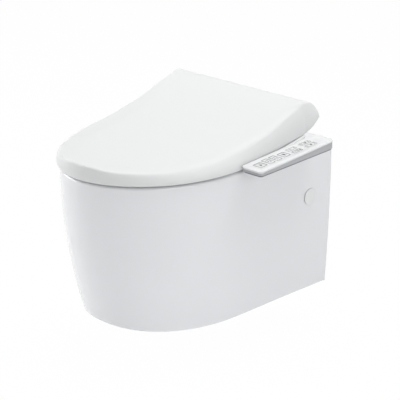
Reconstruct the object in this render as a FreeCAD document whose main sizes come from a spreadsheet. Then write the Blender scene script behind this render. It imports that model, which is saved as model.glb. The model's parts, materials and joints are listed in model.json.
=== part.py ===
"""Wall-hung smart toilet: a ceramic pan, a wash unit behind a heated seat, a lid and a side panel.

Millimetres. The pan's front faces -Y and its back stands on the wall plane y = 0. +Z is up and
+X is the side that carries the control panel. The origin is the midpoint between the two wall
studs, on the wall plane.
"""
import FreeCAD, Part
import math
import os
import re

import Sketcher
from FreeCAD import Placement, Rotation, Vector

SIZES = {
    # Ceramic pan, outside. Heights run up from the studs, reaches run out from the wall.
    "rim_height": 107.0,
    "foot_drop": 208.0,
    "rim_reach": 538.4,
    "rim_half": 185.0,
    "rim_rear_half": 182.0,
    "rim_straight": 303.6,
    "foot_reach": 474.8,
    "foot_half": 167.9,
    "foot_rear_half": 171.3,
    "foot_straight": 256.8,
    "flare_power": 1.94,
    "rim_front_power": 2.08,
    "rim_side_power": 1.89,
    "foot_front_power": 2.27,
    "foot_side_power": 2.29,
    "foot_rounding": 6.0,
    "rim_rounding": 4.0,
    # Ceramic pan, inside.
    "skirt_wall": 14.0,
    "deck_thick": 24.0,
    "basin_wall": 12.0,
    "basin_rear": 201.0,
    "basin_front_width": 49.4,
    "basin_half_width": 125.0,
    "basin_depth": 272.0,
    "trap_bore": 35.0,
    "trap_wall": 12.0,
    "trap_bend": 50.0,
    "trap_mouth_reach": 300.0,
    "trap_mouth_drop": 140.0,
    "trap_dip_reach": 240.0,
    "trap_dip_drop": 160.0,
    "trap_crown_reach": 168.0,
    "trap_crown_rise": 8.0,
    "trap_fall_reach": 92.0,
    "outlet_drop": 100.0,
    "spigot_radius": 51.0,
    "spigot_bore": 42.0,
    "spigot_length": 58.0,
    "spigot_recess": 5.0,
    "inlet_rise": 35.0,
    "inlet_bore": 27.5,
    "inlet_wall": 10.0,
    "inlet_length": 75.0,
    "flush_bore": 16.0,
    "flush_wall": 10.0,
    "flush_bend": 40.0,
    "flush_lift": 26.0,
    # Wall fixing.
    "gasket_thick": 3.0,
    "gasket_inset": 1.5,
    "stud_spacing": 180.0,
    "stud_hole": 6.5,
    "bracket_half": 14.0,
    "bracket_length": 84.0,
    "bracket_arm_half": 12.0,
    "bracket_play": 1.1,
    "fixing_back": 70.0,
    "fixing_radius": 4.0,
    "fixing_length": 40.0,
    "fixing_head": 7.5,
    "fixing_head_depth": 4.0,
    "washer_radius": 11.0,
    "washer_thick": 1.6,
    "cap_radius": 17.0,
    "cap_seat": 8.0,
    "cap_stem": 12.5,
    "cap_dome": 2.5,
    # Hinge line of the seat and the lid.
    "hinge_back": 85.0,
    "hinge_rise": 58.0,
    "shaft_radius": 6.0,
    "shaft_flat": 4.0,
    "shaft_play": 0.05,
    # Lid.
    "lid_gap": 6.0,
    "lid_overhang": 6.5,
    "lid_taper": 5.5,
    "lid_wall": 3.0,
    "lid_lip_rise": 36.5,
    "lid_hollow_rise": 26.0,
    "lid_shoulder_rise": 40.0,
    "nose_radius": 38.0,
    "nose_end_angle": 6.0,
    "nose_tangent_angle": 20.0,
    "lid_edge_break": 297.0,
    "lid_edge_rear": 93.0,
    "lid_edge_rise": 35.0,
    "ear_radius": 14.0,
    "ear_face": 176.0,
    "lid_bumper_radius": 6.0,
    # Seat.
    "seat_gap": 7.0,
    "seat_overhang": 1.0,
    "seat_wall": 3.0,
    "seat_floor": 2.2,
    "seat_joint_rise": 11.0,
    "seat_front_rise": 20.0,
    "seat_level_share": 0.554,
    "seat_sweep_share": 0.256,
    "seat_sweep_rise": 0.6,
    "seat_middle_rise": 7.0,
    "seat_rear_rise": 38.0,
    "seat_arm_rise": 31.0,
    "seat_ring_back": 203.0,
    "seat_hole_rear": 250.0,
    "seat_front_width": 66.4,
    "seat_hole_half_width": 104.0,
    "seat_bridge_rise": 22.0,
    "knuckle_radius": 22.0,
    "knuckle_inner": 153.0,
    "knuckle_outer": 174.0,
    "seat_bumper_radius": 8.0,
    "heater_foil_thick": 0.8,
    "heater_foil_start": 20.0,
    "touch_gap": 0.3,
    # Wash unit casing.
    "case_clear": 1.0,
    "case_joint_rise": 12.0,
    "case_wall": 2.5,
    "case_floor_rise": 5.0,
    "case_half": 183.0,
    "case_front": 196.0,
    "case_rear": 66.0,
    "case_corner": 40.0,
    "shoulder_rise": 27.0,
    "shoulder_rear": 114.0,
    "apron_rise": 16.0,
    "hump_half": 150.0,
    "hump_front": 199.5,
    "hump_front_rise": 44.5,
    "drum_radius": 33.0,
    "drum_end_angle": 133.0,
    "prow_half": 118.0,
    "prow_front": 234.0,
    "prow_rise": 19.5,
    # Deck plate under the wash unit.
    "plate_half": 95.0,
    "plate_depth": 70.0,
    "plate_thick": 3.0,
    "seat_bolt_spacing": 140.0,
    "seat_bolt_back": 116.0,
    "seat_bolt_radius": 4.0,
    "seat_bolt_head": 8.0,
    "seat_bolt_head_thick": 1.6,
    "deck_hole": 7.0,
    "nut_radius": 13.0,
    "nut_thick": 10.0,
    "pipe_hole": 26.0,
    "pipe_hole_back": 128.0,
    "pipe_side": 120.0,
    "pipe_back": 138.0,
    # Hinge dampers.
    "damper_radius": 14.0,
    "damper_length": 48.0,
    "damper_play": 0.1,
    "damper_depth": 34.0,
    # Spray wand, in a frame that slopes down to the front.
    "wand_slope": 25.0,
    "wand_drop": 6.0,
    "wand_radius": 6.0,
    "wand_length": 128.0,
    "wand_bore": 2.5,
    "nozzle_length": 20.0,
    "nozzle_hole": 0.8,
    "nozzle_cap_half": 9.0,
    "nozzle_cap_thick": 2.0,
    "guide_half": 13.0,
    "guide_front": 58.0,
    "guide_rear": 112.0,
    "guide_low": 10.0,
    "guide_high": 9.0,
    "wand_play": 0.1,
    "rack_half": 2.5,
    "rack_front": 26.0,
    "tooth_module": 1.0,
    "pinion_teeth": 12.0,
    "pinion_back": 92.0,
    "pinion_axle": 1.5,
    "motor_radius": 11.0,
    "motor_length": 18.0,
    # Water side, left half of the casing.
    "valve_width": 52.0,
    "valve_depth": 22.0,
    "valve_rise": 14.0,
    "valve_height": 22.0,
    "coil_radius": 9.0,
    "coil_height": 16.0,
    "stub_radius": 10.5,
    "stub_bore": 6.0,
    "elbow_drop": 41.0,
    "elbow_half": 12.5,
    "tail_length": 33.0,
    "stub_flange": 15.0,
    "tank_width": 62.0,
    "tank_depth": 38.0,
    "tank_height": 30.0,
    "tank_side": 141.0,
    "tank_front": 192.0,
    "tank_pipe": 4.0,
    # Air side.
    "duct_half": 17.0,
    "duct_wall": 1.6,
    "duct_rise": 8.6,
    "duct_height": 8.0,
    "dryer_side": 50.0,
    "fan_back": 170.0,
    "dryer_case_half": 23.0,
    "dryer_case_height": 22.0,
    "impeller_radius": 18.0,
    "impeller_height": 12.0,
    "impeller_blades": 12.0,
    "fan_axle": 1.5,
    "fan_motor_radius": 10.0,
    "fan_motor_height": 11.0,
    "flap_thick": 1.2,
    "odour_side": 46.0,
    "odour_case_half": 19.0,
    "odour_case_height": 15.0,
    "odour_fan_radius": 14.0,
    "filter_depth": 22.0,
    # Electrics, right half of the casing.
    "supply_width": 58.0,
    "supply_depth": 42.0,
    "supply_height": 19.0,
    "supply_side": 144.0,
    "board_rise": 31.0,
    "board_thick": 1.6,
    "gland_radius": 9.0,
    "gland_bore": 3.6,
    "gland_length": 20.0,
    # Side control panel, in a frame that slopes down to the front.
    "panel_side": 194.0,
    "panel_front": 296.0,
    "panel_front_rise": 16.5,
    "panel_slope": 3.56,
    "panel_width": 54.0,
    "panel_length": 222.4,
    "panel_corner": 10.0,
    "panel_height": 13.0,
    "panel_wall": 2.0,
    "panel_plate": 2.2,
    "panel_board_depth": 8.0,
    "panel_arm_start": 185.0,
    "panel_arm_length": 62.0,
    "panel_arm_rise": 12.6,
    "panel_arm_height": 6.0,
    "key_proud": 0.4,
    "key_play": 0.25,
    "key_flange": 1.0,
    "key_travel": 0.8,
    # Push button that frees the wash unit from its deck plate.
    "release_radius": 4.0,
    "release_back": 150.0,
    "release_rise": 18.3,
    "release_proud": 3.0,
    "release_length": 20.0,
    "release_play": 0.2,
    # Screws that hold the casing halves together.
    "case_screw_radius": 2.0,
    "case_screw_head": 4.0,
    "case_screw_length": 14.0,
}

# Sizes that follow from others: the basin and the seat's hole keep their distance to the front.
DERIVED = {
    "basin_back": "(rim_reach - basin_front_width + basin_rear) / 2",
    "basin_half_length": "(rim_reach - basin_front_width - basin_rear) / 2",
    "seat_hole_back": "(rim_reach - seat_front_width + seat_hole_rear) / 2",
    "seat_hole_half_length": "(rim_reach - seat_front_width - seat_hole_rear) / 2",
}

# Panel keys: name, middle from the front edge, middle from the inner edge, length, width.
KEYS = (
    ("stop_key", 28.0, 27.0, 22.0, 24.0),
    ("rear_wash_key", 53.0, 26.0, 17.0, 28.0),
    ("front_wash_key", 74.0, 26.0, 17.0, 28.0),
    ("dryer_key", 98.0, 27.0, 20.0, 24.0),
    ("pressure_down_key", 130.0, 18.5, 26.0, 13.0),
    ("pressure_up_key", 130.0, 34.5, 26.0, 13.0),
    ("position_back_key", 172.0, 18.5, 30.0, 13.0),
    ("position_front_key", 172.0, 34.5, 30.0, 13.0),
)

LEFT = -1
RIGHT = 1
SIDES = ((LEFT, "left"), (RIGHT, "right"))
FAR = 700.0  # longer than the whole object, for cutting tools that run right through

doc = FreeCAD.newDocument("SmartToilet")
sheet = doc.addObject("Spreadsheet::Sheet", "Sizes")
cells = {alias: str(value) for alias, value in SIZES.items()}
cells.update({alias: f"={formula}" for alias, formula in DERIVED.items()})
for row, (alias, value) in enumerate(cells.items(), start=1):
    sheet.set(f"A{row}", alias)
    sheet.set(f"B{row}", value)
    sheet.setAlias(f"B{row}", alias)
doc.recompute()

pieces = []


# ---------------------------------------------------------------- helpers

def size(alias):
    """A driving size, read from the sheet."""
    return float(sheet.get(alias))


def bound(text):
    """An expression in which each size's plain name points at its cell."""
    def cell(match):
        word = match.group(0)
        return f"Sizes.{word}" if word in cells else word
    return re.sub(r"[a-z]+(?:_[a-z]+)*", cell, str(text))


def place(item, spot):
    """Bind an object's position to three expressions."""
    for axis, text in zip("xyz", spot):
        item.setExpression(f".Placement.Base.{axis}", bound(text))


def box(name, corner, sides):
    """A block from its low corner and its three sides, all expressions."""
    item = doc.addObject("Part::Box", name)
    for prop, text in zip(("Length", "Width", "Height"), sides):
        item.setExpression(prop, bound(text))
    place(item, corner)
    return item


TURNS = {
    "X": Rotation(Vector(0, 1, 0), 90),
    "Y": Rotation(Vector(1, 0, 0), -90),
    "Z": Rotation(),
}


def rod(name, start, axis, radius, length):
    """A round bar that runs from its start along +X, +Y or +Z."""
    item = doc.addObject("Part::Cylinder", name)
    item.setExpression("Radius", bound(radius))
    item.setExpression("Height", bound(length))
    item.Placement.Rotation = TURNS[axis]
    place(item, start)
    return item


def join(name, *parts):
    item = doc.addObject("Part::MultiFuse", name)
    item.Shapes = list(parts)
    return item


def cut(name, base, *tools):
    item = doc.addObject("Part::Cut", name)
    item.Base = base
    item.Tool = tools[0] if len(tools) == 1 else join(f"{name}_tools", *tools)
    return item


def group(name, *parts):
    """Separate solids that count as one node."""
    item = doc.addObject("Part::Compound", name)
    item.Links = list(parts)
    return item


def feature(name, shape):
    """A free shape, worked out from the sheet's sizes."""
    item = doc.addObject("Part::Feature", name)
    item.Shape = shape
    return item


def piece(label, item, where=None):
    """Register a finished sub-part, with its place if it was built in a frame of its own."""
    item.Label = label
    if where is not None:
        item.Placement = where
    pieces.append(item)
    return item


def revolved(name, corners, start=("0", "0", "0"), turn=Rotation()):
    """A PartDesign body turned about its own Z axis from (radius, height) corners."""
    body = doc.addObject("PartDesign::Body", name)
    sketch = body.newObject("Sketcher::SketchObject", f"{name}_profile")
    plane = [item for item in body.Origin.OriginFeatures if item.Role == "XZ_Plane"][0]
    sketch.AttachmentSupport = [(plane, "")]
    sketch.MapMode = "FlatFace"
    draw_profile(sketch, corners)
    turned = body.newObject("PartDesign::Revolution", f"{name}_turned")
    turned.Profile = sketch
    turned.ReferenceAxis = (sketch, ["V_Axis"])
    turned.Angle = 360
    body.Placement.Rotation = turn
    place(body, start)
    return body


def draw_profile(sketch, corners):
    """A closed outline whose corners are expressions, each held by two dimensions."""
    values = [(number(across), number(up)) for across, up in corners]
    count = len(values)
    for index, (across, up) in enumerate(values):
        far = values[(index + 1) % count]
        line = Part.LineSegment(Vector(across, up, 0), Vector(far[0], far[1], 0))
        sketch.addGeometry(line)
    for index in range(count):
        follower = (index + 1) % count
        sketch.addConstraint(Sketcher.Constraint("Coincident", index, 2, follower, 1))
    for index, (across, up) in enumerate(corners):
        hold(sketch, index, "DistanceX", -2, across, values[index][0])
        hold(sketch, index, "DistanceY", -1, up, values[index][1])


def hold(sketch, index, kind, axis, text, value):
    """Hold one coordinate of a corner: on the axis itself, or at an expression's distance."""
    if text == "0":
        sketch.addConstraint(Sketcher.Constraint("PointOnObject", index, 1, axis))
        return
    made = sketch.addConstraint(Sketcher.Constraint(kind, -1, 1, index, 1, value))
    sketch.setExpression(f"Constraints[{made}]", bound(text))


def number(text):
    """The value of a short sum of sizes and numbers, for a sketch's first drawing."""
    total = 0.0
    for sign, word in re.findall(r"([+-]?)\s*([a-z_]+|[0-9.]+)", text):
        value = size(word) if word in cells else float(word)
        total += -value if sign == "-" else value
    return total


def block(low, high):
    """A plain solid block between two corners given as numbers."""
    spans = [top - bottom for bottom, top in zip(low, high)]
    return Part.makeBox(spans[0], spans[1], spans[2], Vector(*low))


def bar(radius, start, direction, length):
    return Part.makeCylinder(radius, length, Vector(*start), Vector(*direction))


def around(angle, radius):
    """A point in the YZ plane at an angle about the hinge line: 0 is rearward, 90 is up."""
    turn = math.radians(angle)
    across = -size("hinge_back") + radius * math.cos(turn)
    up = size("rim_height") + size("hinge_rise") + radius * math.sin(turn)
    return Vector(0, across, up)


def side_solid(edges, half):
    """A closed outline in the YZ plane, made solid from x = -half to x = +half."""
    face = Part.Face(Part.Wire(edges))
    face.translate(Vector(-half, 0, 0))
    return face.extrude(Vector(2 * half, 0, 0))


def line(start, end):
    return Part.LineSegment(start, end).toShape()


def path_lines(points):
    return [line(start, end) for start, end in zip(points, points[1:])]


def smooth(points):
    curve = Part.BSplineCurve()
    curve.interpolate(points)
    return curve.toShape()


# ---------------------------------------------------------------- plan outlines

REAR_STEPS = 3
FRONT_STEPS = 10


def plan_half(reach, half, rear_half, straight, front_power, side_power):
    """Right half of a plan outline, from the wall out to the front tip."""
    points = []
    for step in range(REAR_STEPS):
        part = step / REAR_STEPS
        across = rear_half + (half - rear_half) * (1 - (1 - part) ** 2)
        points.append((across, -straight * part))
    for step in range(FRONT_STEPS + 1):
        turn = math.pi / 2 * step / FRONT_STEPS
        across = half * max(math.cos(turn), 0) ** (2 / side_power)
        along = straight + (reach - straight) * math.sin(turn) ** (2 / front_power)
        points.append((across, -along))
    points[-1] = (0.0, -reach)
    return points


def plan_wire(half_points, height):
    """The closed outline at a height: one smooth curve round the front, straight at the wall."""
    right = [Vector(across, along, height) for across, along in half_points]
    left = [Vector(-point.x, point.y, height) for point in reversed(right[:-1])]
    curve = smooth(right + left)
    back = line(left[-1], right[0])
    return Part.Wire([curve, back])


def pan_section(share, grow):
    """The pan's outline at a share of its height, grown or shrunk all round."""
    blend = 1 - (1 - share) ** size("flare_power")

    def between(foot, rim):
        return size(foot) + (size(rim) - size(foot)) * blend

    reach = between("foot_reach", "rim_reach") + grow
    half = between("foot_half", "rim_half") + grow
    rear_half = between("foot_rear_half", "rim_rear_half") + grow
    straight = between("foot_straight", "rim_straight")
    front_power = between("foot_front_power", "rim_front_power")
    side_power = between("foot_side_power", "rim_side_power")
    height = -size("foot_drop") + share * (size("foot_drop") + size("rim_height"))
    return plan_wire(plan_half(reach, half, rear_half, straight, front_power, side_power), height)


PAN_SHARES = (0.0, 0.2, 0.45, 0.72, 1.0)


def pan_solid(grow):
    return Part.makeLoft([pan_section(share, grow) for share in PAN_SHARES], True, False)


def rim_wire(grow, height):
    """The rim's own outline, grown and set at a height."""
    half_points = plan_half(size("rim_reach") + grow, size("rim_half") + grow,
                            size("rim_rear_half") + grow, size("rim_straight"),
                            size("rim_front_power"), size("rim_side_power"))
    return plan_wire(half_points, height)


def rim_solid(low_grow, low, high_grow, high):
    return Part.makeLoft([rim_wire(low_grow, low), rim_wire(high_grow, high)], True, True)


OVAL_STEPS = 24
OVAL_POWER = 2.2


def oval_wire(middle, half_length, half_width, height):
    """A closed oval, a little squarer than an ellipse."""
    points = []
    for step in range(OVAL_STEPS):
        turn = 2 * math.pi * step / OVAL_STEPS
        across = math.copysign(abs(math.cos(turn)) ** (2 / OVAL_POWER), math.cos(turn))
        along = math.copysign(abs(math.sin(turn)) ** (2 / OVAL_POWER), math.sin(turn))
        points.append(Vector(half_width * across, -middle + half_length * along, height))
    curve = Part.BSplineCurve()
    curve.interpolate(points, PeriodicFlag=True)
    return Part.Wire([curve.toShape()])


# ---------------------------------------------------------------- bent tubes

def bent_path(corners, bend):
    """Straight runs joined by tangent arcs, through corner points."""
    edges = []
    here = corners[0]
    for before, corner, after in zip(corners, corners[1:], corners[2:]):
        inward = (corner - before).normalize()
        outward = (after - corner).normalize()
        turn = inward.getAngle(outward)
        reach = bend * math.tan(turn / 2)
        start = corner - inward * reach
        end = corner + outward * reach
        inside = (outward - inward).normalize()
        middle = corner + inside * (bend / math.cos(turn / 2) - bend)
        edges.append(line(here, start))
        edges.append(Part.Arc(start, middle, end).toShape())
        here = end
    edges.append(line(here, corners[-1]))
    return Part.Wire(edges)


def tube(corners, bend, radius):
    """A round solid along a bent path."""
    path = bent_path(corners, bend)
    heading = corners[1] - corners[0]
    ring = Part.Wire([Part.Circle(corners[0], heading, radius).toShape()])
    return path.makePipeShell([ring], True, False)


# ---------------------------------------------------------------- ceramic pan

# Levels of the basin: share of its depth, then length, width and middle as shares of the mouth's.
BASIN_LEVELS = (
    (0.00, 1.00, 1.00, 1.000),
    (0.26, 0.90, 0.90, 0.995),
    (0.54, 0.66, 0.63, 0.960),
    (0.79, 0.43, 0.40, 0.920),
    (0.94, 0.33, 0.31, 0.890),
    (1.00, 0.22, 0.21, 0.870),
)


def basin_solid(grow):
    """The basin's hollow, or with its wall's thickness as grow, the shell round it."""
    wires = []
    for depth, length, width, middle in BASIN_LEVELS:
        height = size("rim_height") - depth * size("basin_depth") - grow * depth
        wires.append(oval_wire(size("basin_back") * middle,
                               size("basin_half_length") * length + grow,
                               size("basin_half_width") * width + grow, height))
    return Part.makeLoft(wires, True, False)


def trap_corners(mouth_back):
    """The trap's middle line: out of the basin, under the dip, over the crown, to the wall."""
    return [
        Vector(0, -size("trap_mouth_reach"), -size("trap_mouth_drop")),
        Vector(0, -size("trap_dip_reach"), -size("trap_dip_drop")),
        Vector(0, -size("trap_crown_reach"), size("trap_crown_rise")),
        Vector(0, -size("trap_fall_reach"), -size("outlet_drop")),
        Vector(0, -mouth_back, -size("outlet_drop")),
    ]


def flush_corners(end_back):
    """The flush duct's middle line, from the inlet horn up to the back of the basin."""
    level = size("inlet_rise")
    return [
        Vector(0, -size("inlet_length") + size("inlet_wall"), level),
        Vector(0, -size("inlet_length") - size("flush_bend"), level),
        Vector(0, -end_back + 2 * size("flush_bend") - size("flush_bore"), level + size("flush_lift")),
        Vector(0, -end_back, level + size("flush_lift")),
    ]


def side_wall_point(along=0.0, up=0.0):
    """A point of the pan's right-hand outside, beside the middle of the side fixing."""
    back = -size("fixing_back") + along
    probe = line(Vector(0, back, up), Vector(FAR, back, up)).common(pan_solid(0))
    return Vector(max(vertex.X for vertex in probe.Vertexes), back, up)


def side_wall_face():
    """Where the pan's outside stands, across, at the side fixing."""
    return side_wall_point().x


def side_wall_turn(side):
    """The turn from +Z to the pan's outward direction at a side fixing."""
    reach = size("cap_radius")
    along = side_wall_point(along=reach) - side_wall_point(along=-reach)
    up = side_wall_point(up=reach) - side_wall_point(up=-reach)
    outward = along.cross(up)
    outward = Vector(side * abs(outward.x), outward.y * math.copysign(1, outward.x),
                     outward.z * math.copysign(1, outward.x))
    return Rotation(Vector(0, 0, 1), outward)


def fixing_pocket(side):
    """Side hole for the fixing screw, with the shallow seat for its cap."""
    face = side_wall_face()
    back = -size("fixing_back")
    seat_start = (side * (face - size("cap_seat")), back, 0)
    seat = bar(size("cap_radius") - 1.5, seat_start, (side, 0, 0), FAR)
    hole = bar(size("fixing_radius") + 1.0, (side * size("stud_spacing") / 2, back, 0),
               (side, 0, 0), FAR)
    return [seat, hole]


def make_pan():
    rim = size("rim_height")
    wall_clear = size("gasket_thick")
    outer = pan_solid(0)
    outer = outer.makeFillet(size("foot_rounding"), edges_at(outer, -size("foot_drop")))
    outer = outer.makeFillet(size("rim_rounding"), edges_at(outer, rim))
    ahead = block((-FAR, -FAR, -FAR), (FAR, -wall_clear, FAR))
    outer = outer.common(ahead)

    deck_low = rim - size("deck_thick")
    floor_high = -size("foot_drop") + size("skirt_wall")
    hollow = pan_solid(-size("skirt_wall"))
    hollow = hollow.common(block((-FAR, -FAR, floor_high), (FAR, FAR, deck_low)))
    spigot_start = -wall_clear - size("spigot_recess")
    spigot = bar(size("spigot_radius"), (0, spigot_start, -size("outlet_drop")), (0, -1, 0),
                 size("spigot_length"))
    trap = tube(trap_corners(size("spigot_length") / 2), size("trap_bend"),
                size("trap_bore") + size("trap_wall"))
    horn = bar(size("inlet_bore") + size("inlet_wall"), (0, spigot_start, size("inlet_rise")),
               (0, -1, 0), size("inlet_length"))
    basin_rear = size("basin_back") - size("basin_half_length")
    flush = tube(flush_corners(basin_rear), size("flush_bend"),
                 size("flush_bore") + size("flush_wall"))
    hollow = hollow.cut([basin_solid(size("basin_wall")), trap, spigot, horn, flush])

    tools = [hollow, basin_solid(0)]
    tools.append(tube(trap_corners(size("spigot_length") / 2), size("trap_bend"), size("trap_bore")))
    tools.append(bar(size("spigot_bore"), (0, 0, -size("outlet_drop")), (0, -1, 0),
                     size("spigot_length")))
    tools.append(bar(size("inlet_bore"), (0, 0, size("inlet_rise")), (0, -1, 0),
                     size("inlet_length")))
    tools.append(tube(flush_corners(basin_rear + size("basin_wall") + size("flush_bore")),
                      size("flush_bend"), size("flush_bore")))
    for side, _ in SIDES:
        tools += fixing_pocket(side)
        tools.append(bar(size("deck_hole"), (side * size("seat_bolt_spacing") / 2,
                                             -size("seat_bolt_back"), 0), (0, 0, 1), FAR))
        tools.append(bar(size("pipe_hole"), (side * size("pipe_side"), -size("pipe_hole_back"), 0),
                         (0, 0, 1), FAR))
    pan = outer.cut(tools)
    return piece("ceramic_pan", feature("ceramic_pan", pan.removeSplitter()))


def edges_at(shape, height):
    """The curved edges that lie wholly at one height."""
    found = []
    for edge in shape.Edges:
        box_of = edge.BoundBox
        level = abs(box_of.ZMin - height) < 0.01 and abs(box_of.ZMax - height) < 0.01
        if level and box_of.YLength > 1:
            found.append(edge)
    return found


def make_gasket():
    """Sound mat between the pan's back rim and the wall."""
    mat = pan_solid(-size("gasket_inset"))
    mat.translate(Vector(0, size("gasket_thick"), 0))
    mat = mat.cut(pan_solid(-size("skirt_wall")).common(
        block((-FAR, -FAR, -size("foot_drop") + size("skirt_wall")),
              (FAR, FAR, size("rim_height") - size("deck_thick")))))
    slab = block((-FAR, -size("gasket_thick"), -FAR), (FAR, 0, FAR))
    return piece("wall_mat", feature("wall_mat", mat.common(slab)))


def make_brackets():
    """Concealed brackets: each takes a wall stud and, from the side, the pan's fixing screw."""
    face = side_wall_face()
    inner_face = face - size("skirt_wall") - size("bracket_play")
    for side, word in SIDES:
        middle = side * size("stud_spacing") / 2
        half = size("bracket_half")
        sleeve = block((middle - half, -size("bracket_length"), -half), (middle + half, 0, half))
        arm_half = size("bracket_arm_half")
        ends = sorted((middle, side * inner_face))
        arm = block((ends[0], -size("fixing_back") - arm_half, -arm_half),
                    (ends[1], -size("fixing_back") + arm_half, arm_half))
        stud = bar(size("stud_hole"), (middle, 0, 0), (0, -1, 0), FAR)
        thread = bar(size("fixing_radius"), (middle + side * half, -size("fixing_back"), 0),
                     (side, 0, 0), FAR)
        shape = sleeve.fuse(arm).cut([stud, thread])
        piece(f"wall_bracket_{word}", feature(f"wall_bracket_{word}", shape.removeSplitter()))


def make_fixings():
    """Side screws with their washers, and the caps that cover them."""
    face = side_wall_face()
    screws = []
    for side, word in SIDES:
        turn = Rotation(Vector(0, 0, 1), Vector(side, 0, 0))
        floor = (side * (face - size("cap_seat")), "0 - fixing_back", "0")
        screws.append(revolved(f"fixing_screw_{word}", (
            ("0", "washer_thick + 1"),
            ("3", "washer_thick + 1"),
            ("3", "washer_thick + fixing_head_depth"),
            ("fixing_head", "washer_thick + fixing_head_depth"),
            ("fixing_head", "washer_thick"),
            ("fixing_radius - shaft_play", "washer_thick"),
            ("fixing_radius - shaft_play", "0 - fixing_length"),
            ("0", "0 - fixing_length"),
        ), floor, turn))
        screws.append(revolved(f"fixing_washer_{word}", (
            ("fixing_radius", "0"),
            ("washer_radius", "0"),
            ("washer_radius", "washer_thick"),
            ("fixing_radius", "washer_thick"),
        ), floor, turn))
        cap = revolved(f"side_cap_{word}", (
            ("0", "cap_dome"),
            ("cap_radius - 5", "cap_dome"),
            ("cap_radius", "0.6"),
            ("cap_radius", "touch_gap"),
            ("cap_stem + 2", "touch_gap"),
            ("cap_stem + 2", "1 - cap_seat"),
            ("cap_stem", "1 - cap_seat"),
            ("cap_stem", "0"),
            ("0", "0"),
        ), (side * face, "0 - fixing_back", "0"), side_wall_turn(side))
        piece(f"side_cap_{word}", cap)
    piece("fixing_screws", group("fixing_screws", *screws))


# ---------------------------------------------------------------- lid

def lid_roof(drop):
    """Points along the lid's top in side view, from the lip to where the nose begins."""
    rim = size("rim_height")
    tip = -size("rim_reach") - size("lid_overhang")
    straight = -size("rim_straight")
    low_end = straight - 0.42 * (size("rim_reach") - size("rim_straight"))
    low_start = tip + 0.35 * (low_end - tip)
    shoulder = straight + 0.24 * (size("rim_straight") - size("hinge_back"))
    start = around(90 + size("nose_tangent_angle"), size("nose_radius"))
    slope = math.tan(math.radians(size("nose_tangent_angle")))
    before = start - Vector(0, 40.0, 40.0 * slope)
    heights = (
        (tip - 20.0, size("lid_lip_rise")),
        (tip + 8.0, size("lid_lip_rise")),
        (tip + 0.45 * (low_start - tip), 0.5 * (size("lid_lip_rise") + size("lid_hollow_rise")) - 1.5),
        (low_start, size("lid_hollow_rise")),
        (low_end, size("lid_hollow_rise")),
        (shoulder, size("lid_shoulder_rise")),
    )
    points = [Vector(0, along, rim + rise - drop) for along, rise in heights]
    lower = Vector(0, 0, drop / math.cos(math.radians(size("nose_tangent_angle"))))
    points.append(before - lower)
    return points


def lid_profile(wall):
    """Side outline of the lid's outside (wall 0) or of the hollow under it."""
    rim = size("rim_height")
    radius = size("nose_radius") - wall
    nose_start = around(90 + size("nose_tangent_angle"), radius)
    nose_end = around(-size("nose_end_angle"), radius)
    roof = lid_roof(wall) + [nose_start]
    front = roof[0].y
    if wall:
        low = rim - 20.0
        under = [nose_end, Vector(0, nose_end.y, low), Vector(0, front, low), roof[0]]
    else:
        low = rim + size("lid_gap")
        rear = Vector(0, -size("lid_edge_rear"), rim + size("lid_edge_rise"))
        under = [nose_end, rear, Vector(0, -size("lid_edge_break"), low), Vector(0, front, low),
                 roof[0]]
    nose = Part.Arc(nose_start, around(0, radius), nose_end).toShape()
    return [smooth(roof), nose] + path_lines(under)


def lid_solid(wall):
    low = size("rim_height") - 30.0
    high = size("rim_height") + size("hinge_rise") + size("nose_radius") + 10.0
    slope = size("lid_taper") / (high - low)
    base = size("lid_overhang") + slope * (size("lid_gap") + 30.0) - wall
    plan = rim_solid(base, low, base - size("lid_taper"), high)
    return plan.common(side_solid(lid_profile(wall), FAR / 2))


def make_lid():
    shell = lid_solid(0).cut(lid_solid(size("lid_wall")))
    axis = around(0, 0)
    ears = []
    bores = []
    for side, _ in SIDES:
        start = (side * size("ear_face"), axis.y, axis.z)
        reach = size("rim_rear_half") + size("lid_overhang") - size("lid_wall") - size("ear_face")
        ears.append(bar(size("ear_radius"), start, (side, 0, 0), reach))
    shell = shell.fuse(ears)
    play = size("shaft_radius") + size("shaft_play")
    seat_side = (LEFT * (size("ear_face") - 1), axis.y, axis.z)
    bores.append(bar(play, seat_side, (LEFT, 0, 0), ear_depth() + 1))
    lid_side = (size("ear_face") - 1, axis.y, axis.z)
    bores.append(keyed_bar(play, size("shaft_flat") + size("shaft_play"), lid_side, ear_depth() + 1))
    shell = shell.cut(bores)
    piece("lid_shell", feature("lid_shell", shell.removeSplitter()))
    make_lid_bumpers()


def ear_depth():
    """How far a hinge shaft reaches into the lid's ear."""
    reach = size("rim_rear_half") + size("lid_overhang") - size("lid_wall") - size("ear_face")
    return reach - 1.0


def keyed_bar(radius, flat, start, length):
    """A round bar along +X with a flat on top, as a D-shaped shaft has."""
    round_bar = bar(radius, start, (1, 0, 0), length)
    low = (start[0] - 1, start[1] - radius - 1, start[2] + flat)
    high = (start[0] + length + 1, start[1] + radius + 1, start[2] + radius + 1)
    return round_bar.cut(block(low, high))


def bumper_spots():
    """Two pads a side: beside the middle of the opening, and near the front."""
    rear = -size("rim_straight") + 10.0
    front = -size("seat_hole_back") - 0.85 * size("seat_hole_half_length")
    wide = (size("rim_half") + size("basin_half_width")) / 2 - 6.0
    narrow = 0.55 * size("rim_half")
    spots = []
    for side, _ in SIDES:
        spots.append((side * wide, rear))
        spots.append((side * narrow, front))
    return spots


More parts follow.
